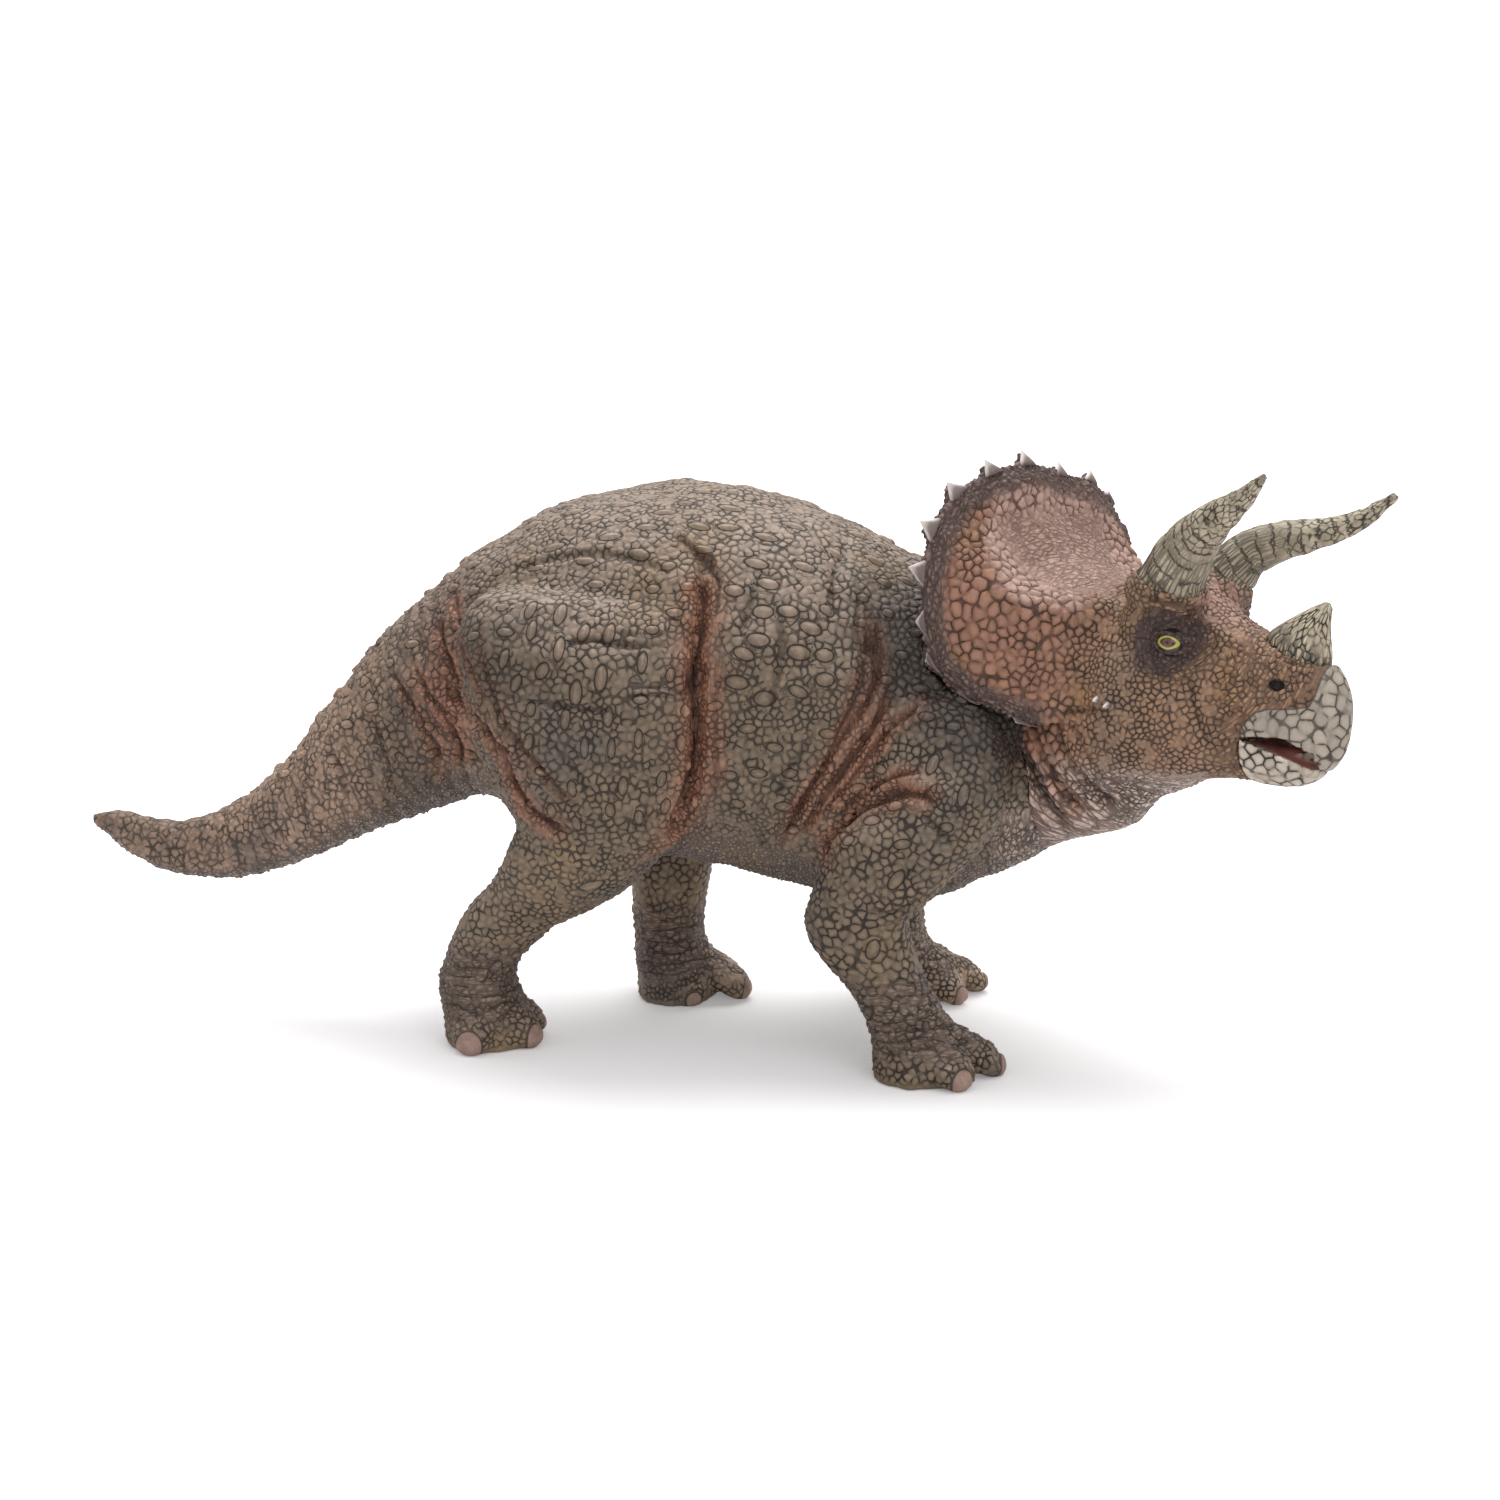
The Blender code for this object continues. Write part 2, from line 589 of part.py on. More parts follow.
def between(rows, place):
    """Row of numbers at one place between rows that are sorted by their first number."""
    for low, high in zip(rows, rows[1:]):
        if place <= high[0]:
            break
    t = (place - low[0]) / (high[0] - low[0])
    return [a + (b - a) * t for a, b in zip(low, high)]


def trunk_point(along, height, side):
    """Point on the trunk's flank, from shares of its length and height."""
    x, up = TRUNK_LENGTH * (along - 0.5), BELLY_CLEARANCE + TRUNK_HEIGHT * height
    _, _, middle, depth, width, _ = between(trunk_sections(), x)
    sine = rounded((up - middle) / (depth / 2), 4 / BODY_ROUNDNESS)
    aside = rounded(math.sqrt(max(1 - sine ** 2, 0)), BODY_ROUNDNESS) * width / 2
    return Vector((x, side * aside * (1 - BODY_SAG_SHARE * sine), up))


def leg_point(limb, rows, along, height, side):
    """Point on a leg's outer face, from shares of its haunch's length and of its height."""
    _, back, front, inner, outer = between(rows, height)
    cosine = rounded((2 * along - back - front) / (front - back), 4 / LEG_ROUNDNESS)
    sine = rounded(math.sqrt(max(1 - cosine ** 2, 0)), LEG_ROUNDNESS)
    aside = limb["reach"] * ((inner + outer) / 2 + sine * (outer - inner) / 2)
    return Vector((limb["x"] + limb["length"] * along, side * aside, limb["height"] * height))


def fold(name, places, root):
    """Groove through points on a flank, each given with its neighbours ahead of it and above it."""
    rings = []
    for index, (point, ahead, above) in enumerate(places):
        last = len(places) - 1
        run = places[min(index + 1, last)][0] - places[max(index - 1, 0)][0]
        normal = (ahead - point).cross(above - point).normalized()
        if normal.y * point.y < 0:
            normal = -normal
        across = run.cross(normal).normalized() * FOLD_WIDTH
        deep = normal * FOLD_DEPTH
        size = FOLD_FADE_SHARE if index in (0, last) else 1
        rings.append([point - deep * size, point + (deep + across) * size, point + (deep - across) * size])
    return as_tool(loft(name, rings, parent=root))


def cut_folds(target, lines, place, root):
    """Cut a groove along each line; place turns two shares into a point on the target."""
    for index, line in enumerate(lines):
        near = FOLD_DEPTH / TRUNK_LENGTH
        places = [(place(u, v), place(u + near, v), place(u, v + near)) for u, v in line]
        combine(target, fold(f"{target.name}_fold_{index}", places, root), "DIFFERENCE")


def hip_peg(name, limb, side, root, gap=0):
    """Peg from inside a limb into the trunk."""
    flank = trunk_width(limb["x"]) / 2
    start = Vector((limb["x"], side * (flank + LIMB_PEG_ROOT), limb["height"] * limb["peg"]))
    length = LIMB_PEG_ROOT + LIMB_PEG_LENGTH
    return peg(name, start, Vector((0, -side, 0)), LIMB_PEG_RADIUS, length, root, gap)


def make_leg(name, kind, side, rows, toes, root, material, seat, ground):
    """Leg with haunch or shoulder, toes and the peg for its socket."""
    limb = limb_values(kind)
    leg = loft(name, [leg_ring(row, limb, side) for row in rows], material, root)
    sole = leg_ring(rows[1], limb, side)
    centre = sum(sole, Vector()) / len(sole)
    centre.z = 0
    for index, (angle, reach, size) in enumerate(toes):
        heading = math.radians(angle)
        combine(leg, toe(f"{name}_toe_{index}", centre, heading, limb["toe"] * reach, size, root), "UNION")
    combine(leg, ground, "DIFFERENCE")
    combine(leg, seat, "DIFFERENCE")
    combine(leg, hip_peg(name + "_peg", limb, side, root), "UNION")
    if kind == "hind":
        cut_folds(leg, HAUNCH_FOLD_SHARES, lambda u, v: leg_point(limb, rows, u, v, side), root)
    return hip_peg(name + "_socket", limb, side, root, CLEARANCE)


# Head: built in the frame of an empty that carries its turn and roll

def head_frame(root):
    """Empty at the back of the cheeks that turns the head to the right."""
    x, _, z, _, _, _ = trunk_sections()[-1]
    frame = bpy.data.objects.new("head_frame", None)
    bpy.context.scene.collection.objects.link(frame)
    frame.parent = root
    frame.location = (x + HEAD_AHEAD, -HEAD_ASIDE, z + HEAD_ABOVE)
    frame.rotation_euler = Euler((HEAD_ROLL, 0, HEAD_TURN))
    return frame


def head_place(shares, side=1):
    """Place in the head from shares of its length, cheek width and height."""
    along, aside, height = shares
    return Vector((along * SKULL_LENGTH, side * aside * CHEEK_WIDTH, height * SKULL_HEIGHT))


def skull_shape(name, material, frame):
    """Skull with cheeks, snout and beak, still closed at the mouth."""
    rings = []
    for along, top, bottom, width, taper in spread(SKULL_SECTION_SHARES, BODY_STEPS):
        middle = SKULL_HEIGHT * (top + bottom) / 2
        half = SKULL_HEIGHT * (top - bottom) / 2
        ring = []
        for turn in turns(SKULL_SIDES):
            side = rounded(math.cos(turn), SKULL_ROUNDNESS) * CHEEK_WIDTH / 2 * width
            side *= 1 - taper * math.sin(turn)
            rise = rounded(math.sin(turn), SKULL_ROUNDNESS) * half
            ring.append(Vector((SKULL_LENGTH * along, side, middle + rise)))
        rings.append(ring)
    return loft(name, rings, material, frame)


def neck_stub(root):
    """Neck from just inside the seam into the skull."""
    rows = body_rows("neck")
    rings = [section_ring(rows[0], 0, -OVERRUN)] + [section_ring(row) for row in rows[1:]]
    return as_tool(loft("neck_stub", rings, parent=root))


def rib_point(rib, t):
    """Point on one rib of the frill, from its root at 0 to the rim at 1."""
    rim, middle, start = Vector(rib[0:3]), Vector(rib[3:6]), Vector(rib[6:9])
    bend = 2 * middle - (rim + start) / 2
    return start * (1 - t) ** 2 + bend * 2 * t * (1 - t) + rim * t ** 2


def frill_ribs():
    """All ribs in real sizes, from the right cheek corner over the crown to the left one."""
    right = []
    for row in FRILL_RIB_SHARES:
        rib = []
        for index in (0, 3, 6):
            along, aside, height = row[index:index + 3]
            rib += [along * FRILL_SWEEP, -aside * FRILL_WIDTH, height * FRILL_HEIGHT]
        right.append(tuple(rib))
    mirror = (1, -1, FRILL_LEFT_SHARE)
    left = [tuple(value * mirror[index % 3] for index, value in enumerate(rib)) for rib in reversed(right)]
    return spread(right + left, FRILL_STEPS)


def frill_shape(frame):
    """Frill as a sheet through the ribs, thinner at its rim."""
    shape = bmesh.new()
    columns = [[shape.verts.new(rib_point(rib, step / RIB_STEPS)) for step in range(RIB_STEPS + 1)]
               for rib in frill_ribs()]
    for low, high in zip(columns, columns[1:]):
        for index in range(RIB_STEPS):
            shape.faces.new((low[index], low[index + 1], high[index + 1], high[index]))
    mesh = bpy.data.meshes.new("frill")
    shape.to_mesh(mesh)
    shape.free()
    frill = as_tool(add_object("frill", mesh, parent=frame))
    rim = frill.vertex_groups.new(name="thickness")
    for index in range(len(mesh.vertices)):
        t = (index % (RIB_STEPS + 1)) / RIB_STEPS
        rim.add([index], 1 - (1 - RIM_THICKNESS_SHARE) * t ** 2, "REPLACE")
    sheet = frill.modifiers.new("thickness", "SOLIDIFY")
    sheet.thickness = FRILL_THICKNESS
    sheet.offset = 1
    sheet.vertex_group = rim.name
    return frill


def stud_places():
    """Point on the rim, outward direction and sideways direction of each stud, one at each rib."""
    ribs = frill_ribs()
    places = []
    for index in range(0, len(ribs), FRILL_STEPS):
        rim = rib_point(ribs[index], 1)
        before = rib_point(ribs[max(index - 1, 0)], 1)
        after = rib_point(ribs[min(index + 1, len(ribs) - 1)], 1)
        outward = rim - rib_point(ribs[index], 1 - 1 / RIB_STEPS)
        places.append((rim, outward.normalized(), (after - before).normalized()))
    return places


def stud_shapes(frame):
    """Pointed studs along the rim, as separate cones in one mesh."""
    shape = bmesh.new()
    for rim, outward, sideways in stud_places():
        through = outward.cross(sideways).normalized()
        base = rim - outward * STUD_LENGTH * STUD_SUNK_SHARE
        base += through * FRILL_THICKNESS * RIM_THICKNESS_SHARE / 2
        tip = shape.verts.new(base + outward * STUD_LENGTH)
        rings = []
        for place, size in ((0, 1), STUD_SHOULDER_SHARES):
            middle = base + outward * STUD_LENGTH * place
            rings.append([shape.verts.new(middle + sideways * math.cos(turn) * STUD_WIDTH / 2 * size
                                          + through * math.sin(turn) * STUD_DEPTH / 2 * size)
                          for turn in turns(STUD_SIDES)])
        shape.faces.new(rings[0])
        for index in range(STUD_SIDES):
            other = (index + 1) % STUD_SIDES
            shape.faces.new((rings[0][index], rings[0][other], rings[1][other], rings[1][index]))
            shape.faces.new((rings[1][index], rings[1][other], tip))
    bmesh.ops.recalc_face_normals(shape, faces=shape.faces)
    mesh = bpy.data.meshes.new("frill_studs")
    shape.to_mesh(mesh)
    shape.free()
    return as_tool(add_object("frill_studs", mesh, parent=frame))


def prism(name, outline, frame):
    """Block across the head with an outline seen from its side."""
    half = CHEEK_WIDTH / 2 + OVERRUN
    rings = [[Vector((x, side * half, z)) for x, z in outline] for side in (-1, 1)]
    return as_tool(loft(name, rings, parent=frame))


def lip_outline(shares, corner_gap):
    """Outline of the block under a lip, open to below the chin."""
    points = [(along * SKULL_LENGTH, height * SKULL_HEIGHT) for along, height in shares]
    points[0] = (points[0][0] - corner_gap, points[0][1])
    below = -SKULL_HEIGHT
    return points + [(points[-1][0], below), (points[0][0], below)]


def jaw_peg(name, frame, gap=0):
    """Peg from the lower jaw back into the head."""
    along = LOWER_LIP_SHARES[0][0] * SKULL_LENGTH + JAW_PEG_ROOT
    start = Vector((along, 0, JAW_PEG_HEIGHT_SHARE * SKULL_HEIGHT))
    return peg(name, start, Vector((-1, 0, 0)), JAW_PEG_RADIUS, JAW_PEG_ROOT + JAW_PEG_LENGTH, frame, gap)


def make_jaw(frame, material):
    """Lower beak with the tongue on it."""
    jaw = skull_shape("lower_jaw", material, frame)
    combine(jaw, prism("jaw_block", lip_outline(LOWER_LIP_SHARES, 0), frame), "INTERSECT")
    radii = [TONGUE_WIDTH * share for share in TONGUE_FORM_SHARES]
    combine(jaw, ball("tongue", head_place(TONGUE_PLACE_SHARES), radii, frame), "UNION")
    combine(jaw, jaw_peg("jaw_peg", frame), "UNION")


def horn_rings(rows, side, gap):
    """Rings along a brow horn, sunk into its seat."""
    root = head_place(HORN_ROOT_SHARES, side)
    points = [(root + Vector((ahead, side * aside, up)) * HORN_LENGTH, size)
              for ahead, aside, up, size in spread(rows, HORN_STEPS)]
    lead = (points[1][0] - points[0][0]).normalized()
    points.insert(0, (points[0][0] - lead * (HORN_SEAT + gap), points[0][1]))
    rings = []
    for index, (point, size) in enumerate(points):
        before = points[max(index - 1, 0)][0]
        after = points[min(index + 1, len(points) - 1)][0]
        axis = (after - before).normalized()
        over = axis.cross(Vector((0, 1, 0))).normalized()
        across = over.cross(axis)
        radius = HORN_RADIUS * size + gap
        rings.append([point + over * math.cos(turn) * radius + across * math.sin(turn) * radius
                      for turn in turns(HORN_SIDES)])
    return rings


def nose_horn_rings(gap):
    """Rings of the nose horn, tilted with the snout."""
    along, height = NOSE_HORN_ROOT_SHARES
    root = Vector((along * SKULL_LENGTH, 0, height * SKULL_HEIGHT))
    ahead = Vector((math.cos(NOSE_HORN_TILT), 0, -math.sin(NOSE_HORN_TILT)))
    rings = []
    for rise, forward, size in NOSE_HORN_SHARES:
        middle = root + Vector((NOSE_HORN_LENGTH * forward, 0, NOSE_HORN_HEIGHT * rise))
        long = NOSE_HORN_LENGTH / 2 * size + gap
        wide = NOSE_HORN_WIDTH / 2 * size + gap
        rings.append([middle + ahead * math.cos(turn) * long + Vector((0, math.sin(turn) * wide, 0))
                      for turn in turns(HORN_SIDES)])
    rings[0] = [point - Vector((0, 0, gap)) for point in rings[0]]
    return rings


def make_horns(frame, material):
    """The three horns; returns the seats that the head needs for them."""
    seats = []
    for name, rows, side in (("brow_horn_right", RIGHT_HORN_SHARES, -1),
                             ("brow_horn_left", LEFT_HORN_SHARES, 1)):
        loft(name, horn_rings(rows, side, 0), material, frame)
        seats.append(as_tool(loft(name + "_seat", horn_rings(rows, side, CLEARANCE), parent=frame)))
    loft("nose_horn", nose_horn_rings(0), material, frame)
    seats.append(as_tool(loft("nose_horn_seat", nose_horn_rings(CLEARANCE), parent=frame)))
    return seats


def swell_head(head, frame):
    """Brows, eyes, horn collars and cheek studs on both sides."""
    for side, name in ((-1, "right"), (1, "left")):
        brow = [BROW_SIZE * share for share in BROW_FORM_SHARES]
        combine(head, ball("brow_" + name, head_place(BROW_PLACE_SHARES, side), brow, frame), "UNION")
        thickness = (RIGHT_HORN_SHARES if side < 0 else LEFT_HORN_SHARES)[0][-1]
        collar = [(HORN_RADIUS * thickness + COLLAR_WALL) * share for share in COLLAR_FORM_SHARES]
        combine(head, ball("collar_" + name, head_place(HORN_ROOT_SHARES, side), collar, frame), "UNION")
        eye = [EYE_RADIUS] * 3
        combine(head, ball("eye_" + name, head_place(EYE_PLACE_SHARES, side), eye, frame), "UNION")
        stud = [CHEEK_STUD_SIZE] * 3
        place = head_place(CHEEK_STUD_PLACE_SHARES, side)
        combine(head, ball("cheek_stud_" + name, place, stud, frame, 1), "UNION")


def make_head(root, frame, material, seat, horn_seats):
    """Head with the neck stub, frill, studs, mouth, nostrils and seats for the horns."""
    head = skull_shape("head", material, frame)
    combine(head, neck_stub(root), "UNION")
    combine(head, frill_shape(frame), "UNION")
    combine(head, stud_shapes(frame), "UNION")
    swell_head(head, frame)
    combine(head, seat, "DIFFERENCE", crossing=True)
    combine(head, prism("mouth_space", lip_outline(UPPER_LIP_SHARES, CLEARANCE), frame), "DIFFERENCE")
    for horn_seat in horn_seats:
        combine(head, horn_seat, "DIFFERENCE")
    for side, name in ((-1, "right"), (1, "left")):
        place = head_place(NOSTRIL_PLACE_SHARES, side)
        combine(head, ball("nostril_" + name, place, [NOSTRIL_RADIUS] * 3, frame, 1), "DIFFERENCE")
    combine(head, jaw_peg("jaw_socket", frame, CLEARANCE), "DIFFERENCE")
    combine(head, seam_peg("neck_peg", "neck", root), "UNION")


def slab_below_ground(root):
    """Block whose top face cuts the soles flat."""
    deep = TOE_HEIGHT
    reach = TRUNK_LENGTH + TAIL_LENGTH
    corners = ((-reach, -reach), (reach, -reach), (reach, reach), (-reach, reach))
    rings = [[Vector((x, y, z)) for x, y in corners] for z in (-deep, 0)]
    return as_tool(loft("ground", rings, parent=root))


def stand_at_origin(root):
    """Put the middle of the figure's footprint box at the origin, with the soles at Z = 0."""
    bpy.context.view_layer.update()
    graph = bpy.context.evaluated_depsgraph_get()
    corners = []
    for thing in bpy.data.objects:
        if thing.type == "MESH" and not thing.hide_render:
            shape = thing.evaluated_get(graph)
            mesh = shape.to_mesh()
            corners += [thing.matrix_world @ vertex.co for vertex in mesh.vertices]
            shape.to_mesh_clear()
    low = [min(corner[axis] for corner in corners) for axis in range(3)]
    high = [max(corner[axis] for corner in corners) for axis in range(3)]
    root.location = (-(low[0] + high[0]) / 2, -(low[1] + high[1]) / 2, -low[2])


def main():
    clear_scene()
    root = bpy.data.objects.new("figure", None)
    bpy.context.scene.collection.objects.link(root)
    body_paint = painted("body paint", (0.16, 0.13, 0.085), 0.6)
    head_paint = painted("head paint", (0.25, 0.15, 0.09), 0.6)
    horn_paint = painted("horn paint", (0.36, 0.34, 0.26), 0.55)

    seat = as_tool(trunk_shape("trunk_seat", CLEARANCE, None, root))
    ground = slab_below_ground(root)
    trunk = trunk_shape("torso", 0, body_paint, root)
    for side in (-1, 1):
        cut_folds(trunk, TRUNK_FOLD_SHARES, lambda u, v: trunk_point(u, v, side), root)
    make_tail(root, body_paint)
    combine(trunk, seam_peg("tail_socket", "tail", root, CLEARANCE), "DIFFERENCE")
    combine(trunk, seam_peg("neck_socket", "neck", root, CLEARANCE), "DIFFERENCE")
    for name, kind, side, rows, toes in (
            ("hind_leg_right", "hind", -1, NEAR_HIND_SHARES, NEAR_HIND_TOE_SHARES),
            ("hind_leg_left", "hind", 1, FAR_HIND_SHARES, FAR_HIND_TOE_SHARES),
            ("front_leg_right", "front", -1, NEAR_FRONT_SHARES, NEAR_FRONT_TOE_SHARES),
            ("front_leg_left", "front", 1, FAR_FRONT_SHARES, FAR_FRONT_TOE_SHARES)):
        socket = make_leg(name, kind, side, rows, toes, root, body_paint, seat, ground)
        combine(trunk, socket, "DIFFERENCE")

    frame = head_frame(root)
    horn_seats = make_horns(frame, horn_paint)
    make_head(root, frame, head_paint, seat, horn_seats)
    make_jaw(frame, horn_paint)
    stand_at_origin(root)


main()
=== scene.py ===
"""Painted skin, horns, hooves and eyes of a moulded horned dinosaur figure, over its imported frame."""
import math
from functools import partial

import bmesh
import bpy
import numpy as np
from mathutils import Euler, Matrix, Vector, kdtree
from mathutils.bvhtree import BVHTree


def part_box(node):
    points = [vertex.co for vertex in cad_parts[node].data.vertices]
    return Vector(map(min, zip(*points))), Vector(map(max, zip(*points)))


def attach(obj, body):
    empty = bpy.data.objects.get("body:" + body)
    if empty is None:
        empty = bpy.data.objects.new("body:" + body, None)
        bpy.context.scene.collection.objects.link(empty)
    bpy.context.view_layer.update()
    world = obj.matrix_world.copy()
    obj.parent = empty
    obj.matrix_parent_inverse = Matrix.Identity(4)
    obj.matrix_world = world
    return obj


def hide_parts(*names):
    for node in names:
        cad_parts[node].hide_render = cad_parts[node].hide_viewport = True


bl_info = {
    "name": "Horned dinosaur figure",
    "version": (1, 0, 0),
    "blender": (4, 5, 0),
    "location": "View3D > Sidebar > Figure",
    "description": "Builds the painted skin, horns, hooves, eyes and stage of a moulded dinosaur figure",
    "category": "Object",
}

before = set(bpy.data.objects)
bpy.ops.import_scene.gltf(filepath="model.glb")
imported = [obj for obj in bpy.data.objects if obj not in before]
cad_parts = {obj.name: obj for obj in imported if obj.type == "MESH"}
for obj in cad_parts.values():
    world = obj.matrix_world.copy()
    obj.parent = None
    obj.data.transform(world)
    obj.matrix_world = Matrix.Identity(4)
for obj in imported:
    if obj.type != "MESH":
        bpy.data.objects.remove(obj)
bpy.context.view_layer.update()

MM = 0.001
# Width of the photograph in pixels and the place that its middle shows
PICTURE = 1500
TARGET = Vector((0.00409, 0.00041, 0.0487))
# The CAD's head frame: its place in millimetres, and its axes as columns
HEAD_PLACE = np.array(Vector((62.34, -4.59, 60.98)))
HEAD_AXES = np.array(Euler((math.radians(-8), 0, math.radians(-30.5))).to_matrix())

BODY_NODES = ("torso", "tail", "hind_leg_right", "hind_leg_left", "front_leg_right", "front_leg_left")


def linear(code):
    """Linear colour from an sRGB hex value."""
    parts = [int(code[index:index + 2], 16) / 255 for index in (1, 3, 5)]
    return tuple(part / 12.92 if part <= 0.04045 else ((part + 0.055) / 1.055) ** 2.4 for part in parts)


# Settings

def colour(name, code, description):
    return bpy.props.FloatVectorProperty(name=name, description=description, subtype="COLOR", size=3,
                                         min=0, max=1, default=linear(code))


def length(name, default, description):
    return bpy.props.FloatProperty(name=name, description=description, default=default * MM,
                                   min=0, unit="LENGTH", subtype="DISTANCE", precision=5)


class FigureSkinSettings(bpy.types.PropertyGroup):
    """Sizes and paints of the skin."""
    body_grid: length("Body grid", 0.88, "Voxel size of the body's skin before it is subdivided")
    head_grid: length("Head grid", 0.62, "Voxel size of the head's skin before it is subdivided")
    scale_size: length("Scale size", 1.08, "Usual distance between the scales of the body")
    scale_height: length("Scale height", 0.18, "How far a scale stands above the cracks round it")
    knob_height: length("Knob height", 0.6, "How far the large oval scales stand up")
    crease_depth: length("Crease depth", 1.0, "Depth of an ordinary skin crease")
    body_paint: colour("Body", "#6A5B4A", "Olive tan of the flanks and legs")
    # Greyer, lighter tan of upward-facing skin: partly the back's own paint, partly painted top light and
    # sheen
    back_and_top_light_paint: colour("Back", "#8B7A6C", "Greyer tan of the back")
    tail_paint: colour("Tail", "#9A806D", "Warm brown of the tail")
    rust_paint: colour("Rust", "#AC7860", "Rusty pink in the folds")
    belly_paint: colour("Belly", "#8C7C70", "Beige of the belly and throat")
    crack_paint: colour("Cracks", "#1E1A18", "Dark wash between the scales of the body")
    crease_paint: colour("Creases", "#1E120D", "Near black in the deepest creases")
    head_paint: colour("Head", "#8A6C55", "Ochre brown of the snout and cheeks")
    frill_paint: colour("Frill", "#855F4C", "Orange brown of the frill's side")
    dish_paint: colour("Dish", "#A88A7D", "Dusty pink inside the frill")
    rim_paint: colour("Rim", "#6A5B58", "Purple grey along the frill's rim")
    plum_paint: colour("Eye ring", "#574746", "Dark plum round the eye")
    head_crack_paint: colour("Head cracks", "#2C1D17", "Dark brown wash between the head's scales")


class FigureHornSettings(bpy.types.PropertyGroup):
    """Sizes and paints of horns, beak, hooves and eyes."""
    horn_paint: colour("Horn", "#A49984", "Grey beige of the horns")
    beak_paint: colour("Beak", "#958B7E", "Grey beige of the beak")
    groove_paint: colour("Grooves", "#211A14", "Dark wash in the grooves")
    hoof_paint: colour("Hooves", "#9A8074", "Pinkish brown of the hooves")
    stud_paint: colour("Stud tips", "#CFC7C3", "Off-white of the studs' tips")
    eye_paint: colour("Eye", "#A89B42", "Yellow ring of the eye")
    pupil_paint: colour("Pupil", "#5A3A2E", "Reddish brown middle of the eye")
    tongue_paint: colour("Tongue", "#8F5C54", "Dull red of the tongue and mouth")


class FigureStageSettings(bpy.types.PropertyGroup):
    """Floor, light and camera."""
    floor_paint: colour("Floor", "#F6F4F6", "Pale floor")
    sky_strength: bpy.props.FloatProperty(name="Sky", description="Strength of the even light from all sides",
                                          default=0.7, min=0)
    key_power: bpy.props.FloatProperty(name="Key power", description="Power of the lamp over the figure",
                                       default=6.0, min=0, unit="POWER")
    distance: length("Camera distance", 800, "From the camera to the middle of the figure")
    view_width: length("View width", 252.1, "Width that the camera sees at the figure")
    azimuth: bpy.props.FloatProperty(name="Azimuth", description="Turn of the camera round the figure",
                                     default=math.radians(8), subtype="ANGLE")
    elevation: bpy.props.FloatProperty(name="Elevation", description="Height of the camera over the floor",
                                       default=math.radians(14), subtype="ANGLE")


# Numbers on meshes

def smoothstep(low, high, value):
    t = np.clip((value - low) / (high - low), 0, 1)
    return t * t * (3 - 2 * t)


def hump(value, width):
    """1 at zero, falling to nothing past the width."""
    return np.exp(-(value / width) ** 2)


def mixed(first, second, share):
    """Colours of two paints mixed point by point."""
    share = np.clip(share, 0, 1)[:, None]
    return np.asarray(first) * (1 - share) + np.asarray(second) * share


def ripple(points, wavelength, seed):
    """Smooth pattern between about -1 and 1 that repeats nowhere near the figure."""
    dice = np.random.default_rng(seed)
    total = np.zeros(len(points))
    for _ in range(7):
        direction = dice.normal(size=3)
        direction /= np.linalg.norm(direction)
        pitch = wavelength * dice.uniform(0.75, 1.4)
        total += np.sin(points @ direction * (math.tau / pitch) + dice.uniform(0, math.tau))
    return total / 3.2


def rows_of(items, field, width, kind=float):
    """One property of every vertex, edge, corner or face, as rows."""
    flat = np.empty(len(items) * width, kind)
    items.foreach_get(field, flat)
    return flat.reshape(-1, width)


def mesh_points(mesh):
    return rows_of(mesh.vertices, "co", 3) / MM


def mesh_edges(mesh):
    return rows_of(mesh.edges, "vertices", 2, np.int32)


def mesh_faces(mesh):
    """Corners of every face; the skins are made of four-sided faces only."""
    if len(mesh.loops) != 4 * len(mesh.polygons):
        raise RuntimeError("the skin has faces that aren't four-sided")
    return rows_of(mesh.loops, "vertex_index", 1, np.int32).reshape(-1, 4)


def set_points(mesh, points):
    mesh.vertices.foreach_set("co", (points * MM).ravel())
    mesh.update()


def placed(name, data):
    """New object in the scene."""
    thing = bpy.data.objects.new(name, data)
    bpy.context.scene.collection.objects.link(thing)
    return thing


def relaxed(points, edges, share):
    """Points drawn towards the mean of their neighbours."""
    first, second = edges[:, 0], edges[:, 1]
    count = len(points)
    degree = np.maximum(np.bincount(first, minlength=count) + np.bincount(second, minlength=count), 1)
    mean = np.stack([np.bincount(first, points[second, axis], count)
                     + np.bincount(second, points[first, axis], count) for axis in range(3)], 1)
    return points + share * (mean / degree[:, None] - points)


def line_distance(flat, line):
    """Distance of flat points from a line through points, and the place along it from 0 to 1."""
    line = np.asarray(line, float)
    spans = np.linalg.norm(np.diff(line, axis=0), axis=1)
    starts = np.concatenate([[0], np.cumsum(spans)])
    best = np.full(len(flat), 1e9)
    along = np.zeros(len(flat))
    for index, (start, end) in enumerate(zip(line, line[1:])):
        run = end - start
        t = np.clip((flat - start) @ run / (run @ run), 0, 1)
        gap = np.linalg.norm(flat - start - t[:, None] * run, axis=1)
        closer = gap < best
        best = np.where(closer, gap, best)
        along = np.where(closer, (starts[index] + t * spans[index]) / starts[-1], along)
    return best, along


# Skins over the CAD nodes

def node_shape(node, swell):
    """Welded copy of a CAD node, grown a little on all sides."""
    shape = bmesh.new()
    shape.from_mesh(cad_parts[node].data)
    bmesh.ops.remove_doubles(shape, verts=shape.verts, dist=0.01 * MM)
    bmesh.ops.recalc_face_normals(shape, faces=shape.faces)
    shape.normal_update()
    for vertex, normal in [(vertex, vertex.normal.copy()) for vertex in shape.verts]:
        vertex.co += normal * swell
    return shape


